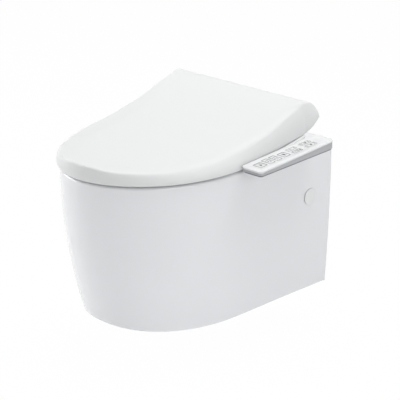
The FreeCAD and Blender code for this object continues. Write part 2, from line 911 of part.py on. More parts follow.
def make_lid_bumpers():
    """Rubber pads under the lid that land on the seat."""
    hollow = lid_solid(size("lid_wall"))
    pads = []
    seat = seat_blank(0, 0)
    for across, along in bumper_spots():
        post = bar(size("lid_bumper_radius"), (across, along, 0), (0, 0, 1), FAR)
        top = post.common(hollow).BoundBox.ZMax
        low = post.common(seat).BoundBox.ZMax + size("touch_gap")
        slab = block((-FAR, -FAR, low), (FAR, FAR, top))
        pads.append(post.common(slab).common(hollow))
    piece("lid_bumpers", feature("lid_bumpers", Part.makeCompound(pads)))


# ---------------------------------------------------------------- seat

def seat_blank(grow, drop):
    """The seat's ring as one block: outline, top in side view and hole, without its hollow."""
    rim = size("rim_height")
    front = -size("rim_reach") - 20.0
    ring_back = -size("seat_ring_back")
    straight = -size("rim_straight")
    level = rim + size("seat_front_rise") - drop
    bow = size("rim_reach") - size("rim_straight")
    top = [
        Vector(0, front, level),
        Vector(0, straight - size("seat_level_share") * bow, level),
        Vector(0, straight - size("seat_sweep_share") * bow, level + size("seat_sweep_rise")),
        Vector(0, (straight + ring_back) / 2, level + size("seat_middle_rise")),
        Vector(0, ring_back, rim + size("seat_rear_rise") - drop),
    ]
    low = rim + size("seat_gap")
    under = [top[-1], Vector(0, ring_back, low), Vector(0, front, low), top[0]]
    profile = side_solid([smooth(top)] + path_lines(under), FAR / 2)
    edge = size("seat_overhang") + grow
    plan = rim_solid(edge, low - 5.0, edge, rim + size("hinge_rise"))
    hole = Part.makeLoft([seat_hole_wire(-grow, low - 10.0), seat_hole_wire(-grow, rim + 100.0)],
                         True, True)
    return plan.common(profile).cut(hole)


def seat_hole_wire(grow, height):
    return oval_wire(size("seat_hole_back"), size("seat_hole_half_length") + grow,
                     size("seat_hole_half_width") + grow, height)


def bridge_relief():
    """Room under the seat's rear bridge for the wash unit's prow."""
    rim = size("rim_height")
    half = size("prow_half") + 4.0
    front = -size("seat_hole_back") + size("seat_hole_half_length") - 6.0
    return block((-half, front, 0), (half, 0, rim + size("seat_bridge_rise")))


def seat_arm(side):
    """One arm of the seat, from the ring up to its knuckle on the hinge line."""
    rim = size("rim_height")
    axis = around(0, 0)
    low = rim + size("seat_arm_rise")
    start = -size("seat_ring_back") - 8.0
    neck = axis.y - size("nose_radius") + size("lid_wall") - 2.0
    corners = [
        Vector(0, start, low),
        Vector(0, axis.y - 2.0, low + 5.0),
        Vector(0, axis.y - 2.0, axis.z + 10.0),
        Vector(0, start, rim + size("seat_rear_rise") - 1.0),
    ]
    rail = side_solid(path_lines(corners + corners[:1]), FAR / 2)
    inner = size("knuckle_inner")
    wide = rim_solid(size("seat_overhang"), low - 40.0, size("seat_overhang"), low + 80.0)
    wide = wide.common(block((inner, -FAR, 0), (FAR, neck, FAR)))
    narrow = block((inner, neck - 1.0, 0), (size("knuckle_outer"), 0, FAR))
    rail = rail.common(wide.fuse(narrow))
    knuckle = bar(size("knuckle_radius"), (inner, axis.y, axis.z), (1, 0, 0),
                  size("knuckle_outer") - inner)
    arm = rail.fuse(knuckle)
    return arm if side == RIGHT else arm.mirror(Vector(0, 0, 0), Vector(1, 0, 0))


def make_seat():
    rim = size("rim_height")
    axis = around(0, 0)
    joint = rim + size("seat_joint_rise")
    ring = seat_blank(0, 0).cut(bridge_relief())
    wall = size("seat_wall")
    inner = seat_blank(-wall, wall)
    back = -size("seat_ring_back") - wall
    ring_front = -size("seat_hole_back") + size("seat_hole_half_length") - 2 * wall
    inner = inner.common(block((-FAR, -FAR, 0), (FAR, back, FAR)))
    relief_wall = bridge_relief().makeOffsetShape(wall, 0.01, join=2)
    inner = inner.cut(relief_wall)

    upper = ring.common(block((-FAR, -FAR, joint), (FAR, FAR, FAR))).cut(inner)
    upper = upper.fuse([seat_arm(LEFT), seat_arm(RIGHT)])
    play = size("shaft_radius") + size("shaft_play")
    length = size("knuckle_outer") - size("knuckle_inner") + 2.0
    left_start = (-size("knuckle_outer") - 1.0, axis.y, axis.z)
    right_start = (size("knuckle_inner") - 1.0, axis.y, axis.z)
    keyed = keyed_bar(play, size("shaft_flat") + size("shaft_play"), left_start, length)
    upper = upper.cut([keyed, bar(play, right_start, (1, 0, 0), length)])
    piece("seat_top_shell", feature("seat_top_shell", upper.removeSplitter()))

    lower = ring.common(block((-FAR, -FAR, 0), (FAR, FAR, joint)))
    well = inner.common(block((-FAR, -FAR, rim + size("seat_gap") + size("seat_floor")),
                              (FAR, FAR, joint)))
    piece("seat_bottom_shell", feature("seat_bottom_shell", lower.cut(well).removeSplitter()))

    foil_high = seat_blank(-3 * wall, wall + size("touch_gap"))
    foil_low = seat_blank(-2 * wall, wall + size("touch_gap") + size("heater_foil_thick"))
    foil = foil_high.cut([foil_low, relief_wall])
    foil = foil.common(block((-FAR, -FAR, 0), (FAR, ring_front - size("heater_foil_start"), FAR)))
    piece("seat_heater_foil", feature("seat_heater_foil", largest(foil)))
    make_seat_bumpers()


def largest(shape):
    """The biggest solid of a shape that a cut has left in several."""
    return max(shape.Solids, key=lambda solid: solid.Volume)


def make_seat_bumpers():
    """Rubber pads under the seat that land on the rim."""
    pads = []
    for number_of, (across, along) in enumerate(bumper_spots()):
        pad = rod(f"seat_pad_{number_of}", (across, along, "rim_height + touch_gap"), "Z",
                  "seat_bumper_radius", "seat_gap - touch_gap")
        pads.append(pad)
    piece("seat_bumpers", group("seat_bumpers", *pads))


# ---------------------------------------------------------------- hinge shafts and dampers

def make_hinges():
    """Two rotary dampers; one shaft turns with the seat and the other with the lid."""
    axis = around(0, 0)
    reach = size("ear_face") + ear_depth() - size("touch_gap")
    radius = size("shaft_radius")
    inner = size("hump_half") - size("damper_depth")
    for side, word, ends in (
            (LEFT, "seat", (size("knuckle_inner"), size("knuckle_outer") + 1.0)),
            (RIGHT, "lid", (size("ear_face") - 1.0, reach))):
        start = min(side * inner, side * reach)
        shaft = bar(radius, (start, axis.y, axis.z), (1, 0, 0), reach - inner)
        low, high = sorted((side * ends[0], side * ends[1]))
        flat = block((low, axis.y - radius, axis.z + size("shaft_flat")),
                     (high, axis.y + radius, axis.z + radius + 1.0))
        piece(f"{word}_hinge_shaft", feature(f"{word}_hinge_shaft", shaft.cut(flat)))
        outer = size("hump_half") + 0.5
        body_start = min(side * outer, side * (outer - size("damper_length")))
        body = bar(size("damper_radius"), (body_start, axis.y, axis.z), (1, 0, 0),
                   size("damper_length"))
        bore_start = min(side * (inner - 0.5), side * (outer + 1.0))
        bore = bar(radius + size("shaft_play"), (bore_start, axis.y, axis.z), (1, 0, 0),
                   outer - inner + 1.5)
        piece(f"{word}_damper", feature(f"{word}_damper", body.cut(bore)))


# ---------------------------------------------------------------- wash unit casing

def footprint(shrink, low, high):
    """Full-width part of the casing in plan, with round rear corners, between two heights."""
    half = size("case_half") - shrink
    front = -size("case_front") + shrink
    rear = -size("case_rear") - shrink
    corner = size("case_corner") - shrink
    solid = block((-half, front, low), (half, rear, high))
    edges = [edge for edge in solid.Edges
             if edge.BoundBox.ZLength > 1 and abs(edge.BoundBox.YMax - rear) < 0.01]
    return solid.makeFillet(corner, edges)


def prow(shrink, low, high):
    """The narrow front of the casing that the wand and the air leave by."""
    half = size("prow_half") - shrink
    return block((-half, -size("prow_front") + shrink, low),
                 (half, -size("hump_front") + 5.0 + 2 * shrink, high))


def hump(shrink):
    """The tall middle of the casing in side view, with the drum that carries the hinge line."""
    rim = size("rim_height")
    radius = size("drum_radius") - shrink
    drum_start = around(90 + size("nose_tangent_angle"), radius)
    end_angle = -size("drum_end_angle")
    drum_end = around(end_angle, radius)
    outward = around(end_angle, size("nose_radius") + 2.0 + shrink)
    front = -size("hump_front") + shrink
    top_front = rim + size("hump_front_rise") - shrink
    joint = rim + size("case_joint_rise")
    roof = line(Vector(0, front, top_front), drum_start)
    drum = Part.Arc(drum_start, around(-10, radius), drum_end).toShape()
    under = [drum_end, outward, Vector(0, outward.y, joint), Vector(0, front, joint),
             Vector(0, front, top_front)]
    return side_solid([roof, drum] + path_lines(under), size("hump_half") - shrink)


def case_upper(shrink):
    rim = size("rim_height")
    joint = rim + size("case_joint_rise")
    shoulder = footprint(shrink, joint, rim + size("shoulder_rise") - shrink)
    shoulder = shoulder.common(block((-FAR, -FAR, 0), (FAR, -size("shoulder_rear") - shrink, FAR)))
    apron = footprint(shrink, joint, rim + size("apron_rise") - shrink)
    nose = prow(shrink, joint, rim + size("prow_rise") - shrink)
    return hump(shrink).fuse([shoulder, apron, nose])


def case_lower(shrink, low):
    joint = size("rim_height") + size("case_joint_rise")
    return footprint(shrink, low, joint).fuse(prow(shrink, low, joint))


def wand_frame():
    """The wand's own frame: its -Y runs down and out along the wand, from the prow's front."""
    spot = Vector(0, -size("prow_front"), size("rim_height") - size("wand_drop"))
    return Placement(spot, Rotation(Vector(1, 0, 0), size("wand_slope")))


def wand_slot():
    """The way out for the wand through the prow and the casing's floor."""
    half = size("nozzle_cap_half") + 2.0
    slot = block((-half, -15.0, -size("guide_low") - 8.0),
                 (half, size("guide_front") - 2.0, size("wand_radius") + 4.0))
    slot.Placement = wand_frame()
    return slot


def duct_hole(middle, low_extra):
    """A duct's way out through the front of the prow."""
    half = size("duct_half") - size("duct_wall")
    low = size("rim_height") + size("duct_rise") - 3.0 + low_extra
    high = low + size("duct_height") - 1.0
    return block((middle - half, -size("prow_front") - 1.0, low),
                 (middle + half, -size("prow_front") + size("case_wall") + 1.0, high))


def screw_spots():
    """Casing screws: two by the front corners, two by the rear ones."""
    side = size("case_half") - 14.0
    return [(LEFT * side, -size("case_front") + 12.0), (RIGHT * side, -size("case_front") + 12.0),
            (LEFT * side, -size("shoulder_rear") - 14.0),
            (RIGHT * side, -size("shoulder_rear") - 14.0)]


def make_case():
    rim = size("rim_height")
    joint = rim + size("case_joint_rise")
    wall = size("case_wall")
    axis = around(0, 0)

    cover = case_upper(0).cut(case_upper(wall).fuse(case_lower(wall, joint - 2.0)))
    bosses = [bar(size("case_screw_head"), (across, along, joint), (0, 0, 1),
                  size("shoulder_rise") - size("case_joint_rise") - wall)
              for across, along in screw_spots()]
    cover = cover.fuse(bosses)
    tools = [wand_slot(), duct_hole(size("dryer_side"), 0), duct_hole(-size("odour_side"), 0)]
    for across, along in screw_spots():
        tools.append(bar(size("case_screw_radius"), (across, along, joint - 1.0), (0, 0, 1),
                         size("case_screw_length") - wall))
    for side, _ in SIDES:
        start = (side * (size("hump_half") - 2 * wall), axis.y, axis.z)
        tools.append(bar(size("damper_radius") + size("damper_play"), start, (side, 0, 0), 5 * wall))
    tools.append(bar(size("release_radius") + size("release_play"),
                     (-size("case_half") - 1.0, -size("release_back"), rim + size("release_rise")),
                     (1, 0, 0), 5 * wall))
    piece("case_cover", feature("case_cover", cover.cut(tools).removeSplitter()))

    floor = rim + size("case_floor_rise")
    tray = case_lower(0, rim + size("case_clear"))
    above = case_lower(wall, floor + wall)
    below = case_lower(wall, rim - 2.0).common(block((-FAR, -FAR, 0), (FAR, FAR, floor)))
    posts = [bar(size("case_screw_head") + 1.0, (across, along, rim + size("case_clear")),
                 (0, 0, 1), size("case_joint_rise") - size("case_clear"))
             for across, along in screw_spots()]
    tray = tray.cut([above, below]).fuse(posts)
    tools = [wand_slot(), duct_hole(size("dryer_side"), 0), duct_hole(-size("odour_side"), 0)]
    for across, along in screw_spots():
        tools.append(bar(size("case_screw_radius") + 0.3, (across, along, 0), (0, 0, 1), FAR))
        tools.append(bar(size("case_screw_head") + 0.3, (across, along, 0), (0, 0, 1),
                         floor - 1.0))
    tools.append(bar(size("stub_radius") + 0.5, (-size("pipe_side"), -size("pipe_back"), 0),
                     (0, 0, 1), FAR))
    tools.append(bar(size("gland_radius") + 0.2, (size("pipe_side"), -size("pipe_back"), 0),
                     (0, 0, 1), FAR))
    piece("case_tray", feature("case_tray", tray.cut(tools).removeSplitter()))
    make_case_screws(floor - 1.0)
    make_release_button()


def make_case_screws(head_top):
    screws = []
    for index, (across, along) in enumerate(screw_spots()):
        screw = revolved(f"case_screw_{index}", (
            ("0", "0 - 2"),
            ("case_screw_head - 0.2", "0 - 2"),
            ("case_screw_head - 0.2", "0"),
            ("case_screw_radius - 0.02", "0"),
            ("case_screw_radius - 0.02", "case_screw_length"),
            ("0", "case_screw_length"),
        ), start=(across, along, head_top))
        screws.append(screw)
    piece("case_screws", group("case_screws", *screws))


def make_release_button():
    """Sprung push button in the casing's left shoulder."""
    body = revolved("release_button", (
        ("0", "0"),
        ("release_radius - 1", "0"),
        ("release_radius", "1"),
        ("release_radius", "release_length - 6"),
        ("release_radius + 1.5", "release_length - 6"),
        ("release_radius + 1.5", "release_length - 4"),
        ("release_radius - 2", "release_length - 4"),
        ("release_radius - 2", "release_length"),
        ("0", "release_length"),
    ), turn=Rotation(Vector(0, 1, 0), 90))
    place(body, ("0 - case_half - release_proud", "0 - release_back", "rim_height + release_rise"))
    piece("release_button", body)


# ---------------------------------------------------------------- deck plate

def make_deck_plate():
    """Steel plate on the deck that the wash unit clips to, with its two bolts."""
    plate = box("deck_plate_blank",
                ("0 - plate_half", "0 - seat_bolt_back - plate_depth / 2", "rim_height"),
                ("2 * plate_half", "plate_depth", "plate_thick - 1"))
    hook = box("deck_plate_hook",
               ("0 - 12", "0 - seat_bolt_back - plate_depth / 2", "rim_height"),
               ("24", "8", "case_floor_rise - touch_gap"))
    holes = [rod(f"deck_plate_hole_{word}",
                 (f"{side} * seat_bolt_spacing / 2", "0 - seat_bolt_back", "rim_height - 1"),
                 "Z", "seat_bolt_radius + 0.3", "20") for side, word in SIDES]
    piece("deck_plate", cut("deck_plate", join("deck_plate_body", plate, hook), *holes))

    bolts = []
    nuts = []
    for side, word in SIDES:
        spot = (f"{side} * seat_bolt_spacing / 2", "0 - seat_bolt_back",
                "rim_height + plate_thick - 1")
        bolt = revolved(f"deck_bolt_{word}", (
            ("0", "seat_bolt_head_thick"),
            ("seat_bolt_head - 0.5", "seat_bolt_head_thick"),
            ("seat_bolt_head", "seat_bolt_head_thick - 0.5"),
            ("seat_bolt_head", "0"),
            ("seat_bolt_radius", "0"),
            ("seat_bolt_radius", "0 - deck_thick - nut_thick - 8"),
            ("0", "0 - deck_thick - nut_thick - 8"),
        ), start=spot)
        bolts.append(bolt)
        nut = revolved(f"deck_nut_{word}", (
            ("seat_bolt_radius + 0.02", "0"),
            ("nut_radius", "0"),
            ("nut_radius", "0 - nut_thick + 4"),
            ("nut_radius - 4", "0 - nut_thick"),
            ("seat_bolt_radius + 0.02", "0 - nut_thick"),
        ), start=(spot[0], spot[1], "rim_height - deck_thick - touch_gap"))
        nuts.append(nut)
    piece("deck_bolts", group("deck_bolts", *bolts))
    piece("deck_nuts", group("deck_nuts", *nuts))


# ---------------------------------------------------------------- spray wand

def rack_top():
    """Height of the rack's pitch line above the wand's middle."""
    return size("wand_radius") + 1.5 * size("tooth_module")


def pinion_radius():
    return size("tooth_module") * size("pinion_teeth") / 2


def tooth_outline(root_half, tip_half, root, tip):
    """A trapezoid tooth that points up, as (along, up) corners."""
    return ((-root_half, root), (root_half, root), (tip_half, tip), (-tip_half, tip))


def prism(corners, low, high):
    """A solid between two places on X, from (y, z) corners."""
    points = [Vector(low, along, up) for along, up in corners]
    face = Part.Face(Part.Wire(path_lines(points + points[:1])))
    return face.extrude(Vector(high - low, 0, 0))


def make_rack():
    module = size("tooth_module")
    half = size("rack_half")
    pitch = math.pi * module
    level = rack_top()
    start = size("rack_front")
    end = size("wand_length")
    base = size("wand_radius") - 1.0
    solid = block((-half, start, base), (half, end, level - 1.25 * module))
    teeth = []
    count = int((end - start) / pitch) - 1
    first = size("pinion_back") - pitch * int((size("pinion_back") - start) / pitch) + pitch / 2
    for index in range(count):
        along = first + index * pitch
        if along + pitch / 2 > end:
            break
        corners = tooth_outline(0.42 * pitch / 1.3, 0.13 * pitch, level - 1.35 * module,
                                level + 0.85 * module)
        teeth.append(prism([(along + shift, up) for shift, up in corners], -half, half))
    tube_clear = bar(size("wand_radius") + 0.02, (0, 0, 0), (0, 1, 0), FAR)
    return piece("wand_rack", feature("wand_rack", solid.fuse(teeth).cut(tube_clear)),
                 wand_frame())


def make_wand():
    """The hollow wand with its nozzle head and the cover plate on its front end."""
    start = size("nozzle_length") + 2.0
    rod_body = bar(size("wand_radius"), (0, start, 0), (0, 1, 0), size("wand_length") - start)
    bore = bar(size("wand_bore"), (0, start - 1.0, 0), (0, 1, 0), FAR)
    piece("spray_wand", feature("spray_wand", rod_body.cut(bore)), wand_frame())

    head = bar(size("wand_radius"), (0, 2.0, 0), (0, 1, 0), size("nozzle_length") - touch())
    channel = bar(size("wand_bore"), (0, 6.0, 0), (0, 1, 0), FAR)
    holes = [bar(size("nozzle_hole"), (across, along, 0), (0, 0, 1), FAR)
             for across in (-2.0, 0.0, 2.0) for along in (8.0, 12.0)]
    piece("nozzle_head", feature("nozzle_head", head.cut([channel] + holes)), wand_frame())

    half = size("nozzle_cap_half")
    plate = block((-half, 0, -half + 1.0), (half, size("nozzle_cap_thick"), half - 2.0))
    edges = [edge for edge in plate.Edges if edge.BoundBox.YLength > 1]
    piece("nozzle_cover", feature("nozzle_cover", plate.makeFillet(3.0, edges)), wand_frame())
    make_rack()


def touch():
    return 0.02


def make_guide():
    """The sloping block that the wand runs in, on a foot that stands on the casing's floor."""
    half = size("guide_half")
    front = size("guide_front")
    rear = size("guide_rear")
    solid = block((-half, front, -size("guide_low")), (half, rear, size("guide_high")))
    run = bar(size("wand_radius") + size("wand_play"), (0, 0, 0), (0, 1, 0), FAR)
    slot_half = size("rack_half") + 0.4
    slot = block((-slot_half, 0, 0), (slot_half, FAR, FAR))
    module = size("tooth_module")
    well = bar(pinion_radius() + 2 * module, (-slot_half - 1.5, size("pinion_back"),
                                              rack_top() + pinion_radius()), (1, 0, 0),
               2 * slot_half + 3.0)
    axle_y = size("pinion_back")
    axle_z = rack_top() + pinion_radius()
    ear = block((half, axle_y - 9.0, -size("guide_low")), (half + 2.0, axle_y + 9.0, axle_z + 8.0))
    axle = bar(size("pinion_axle") + 0.05, (-half - 1.0, axle_y, axle_z), (1, 0, 0), 2 * half + 6.0)
    solid = solid.cut([run, slot, well]).fuse(ear).cut(axle)
    solid.Placement = wand_frame()
    rim = size("rim_height")
    floor = rim + size("case_floor_rise") + size("case_wall") + 0.02
    rear_spot = wand_frame().multVec(Vector(0, rear - 12.0, -size("guide_low") + 1.0))
    mid_spot = wand_frame().multVec(Vector(0, front + 10.0, -size("guide_low") + 1.0))
    feet = [block((-half, spot.y - 4.0, floor), (half, spot.y + 4.0, spot.z + 3.0))
            for spot in (rear_spot, mid_spot)]
    clear = bar(size("wand_radius") + size("wand_play"), (0, 0, 0), (0, 1, 0), FAR)
    clear.Placement = wand_frame()
    solid = solid.fuse(feet).cut(clear)
    piece("wand_guide", feature("wand_guide", solid.removeSplitter()))


def make_pinion_drive():
    module = size("tooth_module")
    radius = pinion_radius()
    count = int(size("pinion_teeth"))
    width = size("rack_half")
    axle_z = rack_top() + radius
    hub = bar(radius - 1.25 * module, (-width, 0, 0), (1, 0, 0), 2 * width)
    teeth = []
    corners = tooth_outline(0.8 * module, 0.38 * module, radius - 1.6 * module,
                            radius + 0.85 * module)
    for index in range(count):
        tooth = prism(corners, -width, width)
        tooth.rotate(Vector(0, 0, 0), Vector(1, 0, 0), 360.0 * index / count)
        teeth.append(tooth)
    motor_start = size("guide_half") + 2.0
    axle = bar(size("pinion_axle"), (-width, 0, 0), (1, 0, 0), motor_start + 8.0 + width)
    gear = hub.fuse(teeth + [axle])
    gear.translate(Vector(0, size("pinion_back"), axle_z))
    piece("drive_pinion", feature("drive_pinion", gear.removeSplitter()), wand_frame())

    start = (motor_start + touch(), size("pinion_back"), axle_z)
    motor = bar(size("motor_radius"), start, (1, 0, 0), size("motor_length"))
    bore = bar(size("pinion_axle") + 0.05, (start[0] - 1.0, start[1], start[2]), (1, 0, 0), 12.0)
    piece("wand_motor", feature("wand_motor", motor.cut(bore)), wand_frame())


# ---------------------------------------------------------------- water side

def make_water_side():
    """Inlet elbow, solenoid valve and heater tank in the left half of the casing."""
    floor = "rim_height + case_floor_rise + case_wall + 0.02"
    stub = revolved("inlet_stub", (
        ("0", "0 - elbow_drop"),
        ("stub_radius", "0 - elbow_drop"),
        ("stub_radius", "case_floor_rise + case_wall"),
        ("stub_flange", "case_floor_rise + case_wall"),
        ("stub_flange", "valve_rise - 0.02"),
        ("0", "valve_rise - 0.02"),
    ), start=("0 - pipe_side", "0 - pipe_back", "rim_height"))
    elbow = box("inlet_elbow",
                ("0 - pipe_side - elbow_half", "0 - pipe_back - elbow_half",
                 "rim_height - elbow_drop - elbow_half"),
                ("2 * elbow_half", "2 * elbow_half", "2 * elbow_half"))
    corner = ("0 - pipe_side", "0 - pipe_back", "rim_height - elbow_drop")
    tail = rod("inlet_tail", corner, "Y", "stub_radius", "tail_length")
    rise = rod("inlet_rise_bore", corner, "Z", "stub_bore", "elbow_drop + valve_rise")
    run = rod("inlet_run_bore", corner, "Y", "stub_bore", "tail_length + 1")
    piece("water_inlet", cut("water_inlet", join("inlet_body", stub, elbow, tail), rise, run))

    body = box("valve_body",
               ("0 - pipe_side - 16", "0 - pipe_back - valve_depth / 2", "rim_height + valve_rise"),
               ("valve_width", "valve_depth", "valve_height"))
    bore = rod("valve_bore", ("0 - pipe_side", "0 - pipe_back", "rim_height"), "Z", "stub_bore",
               "valve_rise + 8")
    piece("water_valve", cut("water_valve", body, bore))
    coil = revolved("valve_coil", (
        ("0", "0"),
        ("coil_radius", "0"),
        ("coil_radius", "coil_height - 3"),
        ("coil_radius - 3", "coil_height"),
        ("0", "coil_height"),
    ), start=("0 - pipe_side + 18", "0 - pipe_back", "rim_height + valve_rise + valve_height + 0.02"))
    piece("valve_coil", coil)

    tank = box("tank_body", ("0 - tank_side", "0 - tank_front", floor),
               ("tank_width", "tank_depth", "tank_height"))
    inlet = rod("tank_inlet", ("0 - tank_side + 12", "0 - tank_front + tank_depth - 1",
                               "rim_height + valve_rise + 14"), "Y", "tank_pipe", "5")
    outlet = rod("tank_outlet", ("0 - tank_side + tank_width - 1", "0 - tank_front + 12",
                                 "rim_height + valve_rise + 12"), "X", "tank_pipe", "8")
    piece("water_heater", join("water_heater", tank, inlet, outlet))


# ---------------------------------------------------------------- air side

def make_fan(name, middle, radius, height, blades):
    """A fan wheel on a hub and axle, turned about Z, with curved blades between two rings."""
    floor = size("rim_height") + size("case_floor_rise") + size("case_wall")
    low = floor + 3.0
    hub = bar(0.28 * radius, (0, 0, low), (0, 0, 1), height)
    disc = bar(radius, (0, 0, low), (0, 0, 1), 1.2)
    parts = [disc, bar(size("fan_axle"), (0, 0, low), (0, 0, 1), height + 8.0)]
    for index in range(int(blades)):
        blade = block((0.5 * radius, -0.5, low), (radius - 0.3, 0.5, low + height))
        blade.rotate(Vector(0.75 * radius, 0, 0), Vector(0, 0, 1), 35.0)
        blade.rotate(Vector(0, 0, 0), Vector(0, 0, 1), 360.0 * index / blades)
        parts.append(blade)
    wheel = hub.fuse(parts)
    wheel.translate(Vector(middle, -size("fan_back"), 0))
    piece(name, feature(name, wheel.removeSplitter()))


def make_fan_case(name, middle, half, height, wheel_radius):
    """A square fan casing, open above round the axle and to the front into its duct."""
    floor = size("rim_height") + size("case_floor_rise") + size("case_wall") + touch()
    back = -size("fan_back")
    shell = block((middle - half, back - half, floor), (middle + half, back + half, floor + height))
    room = bar(wheel_radius + 2.0, (middle, back, floor + 1.6), (0, 0, 1), height - 3.6)
    axle = bar(size("fan_axle") + 0.05, (middle, back, floor), (0, 0, 1), FAR)
    duct_half = size("duct_half")
    wall = size("duct_wall")
    duct_low = floor + touch()
    front = -size("prow_front") + size("case_wall") + touch()
    duct = block((middle - duct_half, front, duct_low),
                 (middle + duct_half, back - half + 1.0, duct_low + size("duct_height")))
    way = block((middle - duct_half + wall, -FAR, duct_low + wall),
                (middle + duct_half - wall, back - wheel_radius / 2,
                 duct_low + size("duct_height") - wall))
    shape = shell.fuse(duct).cut([room, way, axle])
    piece(name, feature(name, shape.removeSplitter()))


def make_air_side():
    """Warm-air dryer on the right, odour extraction on the left."""
    make_fan_case("dryer_blower_case", size("dryer_side"), size("dryer_case_half"),
                  size("dryer_case_height"), size("impeller_radius"))
    make_fan("dryer_impeller", size("dryer_side"), size("impeller_radius"),
             size("impeller_height"), size("impeller_blades"))
    top = "rim_height + case_floor_rise + case_wall + dryer_case_height + 0.04"
    motor = rod("dryer_motor_body", ("dryer_side", "0 - fan_back", top), "Z", "fan_motor_radius",
                "fan_motor_height")
    motor_bore = rod("dryer_motor_bore", ("dryer_side", "0 - fan_back", "rim_height"), "Z",
                     "fan_axle + 0.05", "60")
    piece("dryer_motor", cut("dryer_motor", motor, motor_bore))

    make_fan_case("odour_fan_case", -size("odour_side"), size("odour_case_half"),
                  size("odour_case_height"), size("odour_fan_radius"))
    make_fan("odour_fan", -size("odour_side"), size("odour_fan_radius"),
             size("odour_case_height") - 8.0, 9)
    floor = "rim_height + case_floor_rise + case_wall + 0.02"
    filter_box = box("odour_filter_block",
                     ("0 - odour_side - odour_case_half",
                      "0 - fan_back + odour_case_half + 0.3", floor),
                     ("2 * odour_case_half", "filter_depth", "odour_case_height + 6"))
    piece("odour_filter", filter_box)
    make_dryer_flap()


def flap_axis():
    """The flap's hinge line, just ahead of the prow, above the dryer's outlet."""
    rim = size("rim_height")
    return Vector(0, -size("prow_front") - size("flap_thick") / 2 - 0.6,
                  rim + size("duct_rise") + size("duct_height") - 2.0)


def make_dryer_flap():
    """Light flap over the dryer's outlet, which the air swings open."""
    axis = flap_axis()
    half = size("duct_half") - 1.0
    middle = size("dryer_side")
    thick = size("flap_thick")
    plate = block((middle - half, axis.y - thick / 2, axis.z - size("duct_height")),
                  (middle + half, axis.y + thick / 2, axis.z))
    roll = bar(1.0, (middle - half, axis.y, axis.z), (1, 0, 0), 2 * half)
    pins = bar(0.6, (middle - half - 2.4, axis.y, axis.z), (1, 0, 0), 2 * half + 4.8)
    piece("dryer_flap", feature("dryer_flap", plate.fuse([roll, pins]).removeSplitter()))
    ears = []
    for side, _ in SIDES:
        start = middle + side * (half + 0.4)
        low, high = sorted((start, start + side * 2.2))
        ear = block((low, axis.y - 1.6, axis.z - 1.8), (high, -size("prow_front") - touch(),
                                                        axis.z + 1.6))
        ears.append(ear.cut(bar(0.65, (middle - FAR / 2, axis.y, axis.z), (1, 0, 0), FAR)))
    piece("flap_hinge_ears", feature("flap_hinge_ears", Part.makeCompound(ears)))


# ---------------------------------------------------------------- electrics

def make_electrics():
    floor = "rim_height + case_floor_rise + case_wall + 0.02"
    supply = box("power_supply", ("supply_side - supply_width", "0 - tank_front", floor),
                 ("supply_width", "supply_depth", "supply_height"))
    piece("power_supply", supply)

    board = box("board_sheet", ("supply_side - supply_width", "0 - tank_front + 2",
                                "rim_height + board_rise"),
                ("supply_width", "supply_depth - 4", "board_thick"))
    parts = [board]
    for index in range(3):
        chip = box(f"board_chip_{index}",
                   (f"supply_side - supply_width + 6 + {18 * index}", "0 - tank_front + 14",
                    "rim_height + board_rise + board_thick"),
                   ("12", "9", "2.4"))
        parts.append(chip)
    for index in range(4):
        across = 4 if index % 2 else 50
        along = 4 if index < 2 else 40
        post = rod(f"board_post_{index}",
                   (f"supply_side - supply_width + {across}", f"0 - tank_front + {along}",
                    "rim_height + case_floor_rise + case_wall + supply_height + 0.04"),
                   "Z", "2",
                   "board_rise - case_floor_rise - case_wall - supply_height - 0.04")
        parts.append(post)
    piece("main_board", join("main_board", *parts))

    gland = revolved("cord_gland", (
        ("gland_bore", "0 - gland_length / 2"),
        ("gland_radius - 1.5", "0 - gland_length / 2"),
        ("gland_radius", "0 - gland_length / 2 + 3"),
        ("gland_radius", "case_floor_rise + case_wall"),
        ("gland_radius + 2", "case_floor_rise + case_wall"),
        ("gland_radius + 2", "case_floor_rise + case_wall + 3"),
        ("gland_bore", "case_floor_rise + case_wall + 3"),
    ), start=("pipe_side", "0 - pipe_back", "rim_height"))
    piece("cord_gland", gland)


# ---------------------------------------------------------------- side control panel

def panel_frame():
    """The panel's own frame: x from its inner edge, y from its front, z from its top face."""
    spot = Vector(size("panel_side"), -size("panel_front"),
                  size("rim_height") + size("panel_front_rise"))
    return Placement(spot, Rotation(Vector(1, 0, 0), size("panel_slope")))


def rounded_block(low, high, corner):
    """A block with its four upright edges rounded."""
    solid = block(low, high)
    edges = [edge for edge in solid.Edges if abs(edge.BoundBox.ZLength - (high[2] - low[2])) < 0.01
             and edge.BoundBox.XLength < 0.01 and edge.BoundBox.YLength < 0.01]
    return solid.makeFillet(corner, edges)


def key_block(key, grow, low, high):
    _, along, across, length, width = key
    corner = 2.0 + grow
    return rounded_block((across - width / 2 - grow, along - length / 2 - grow, low),
                         (across + width / 2 + grow, along + length / 2 + grow, high), corner)


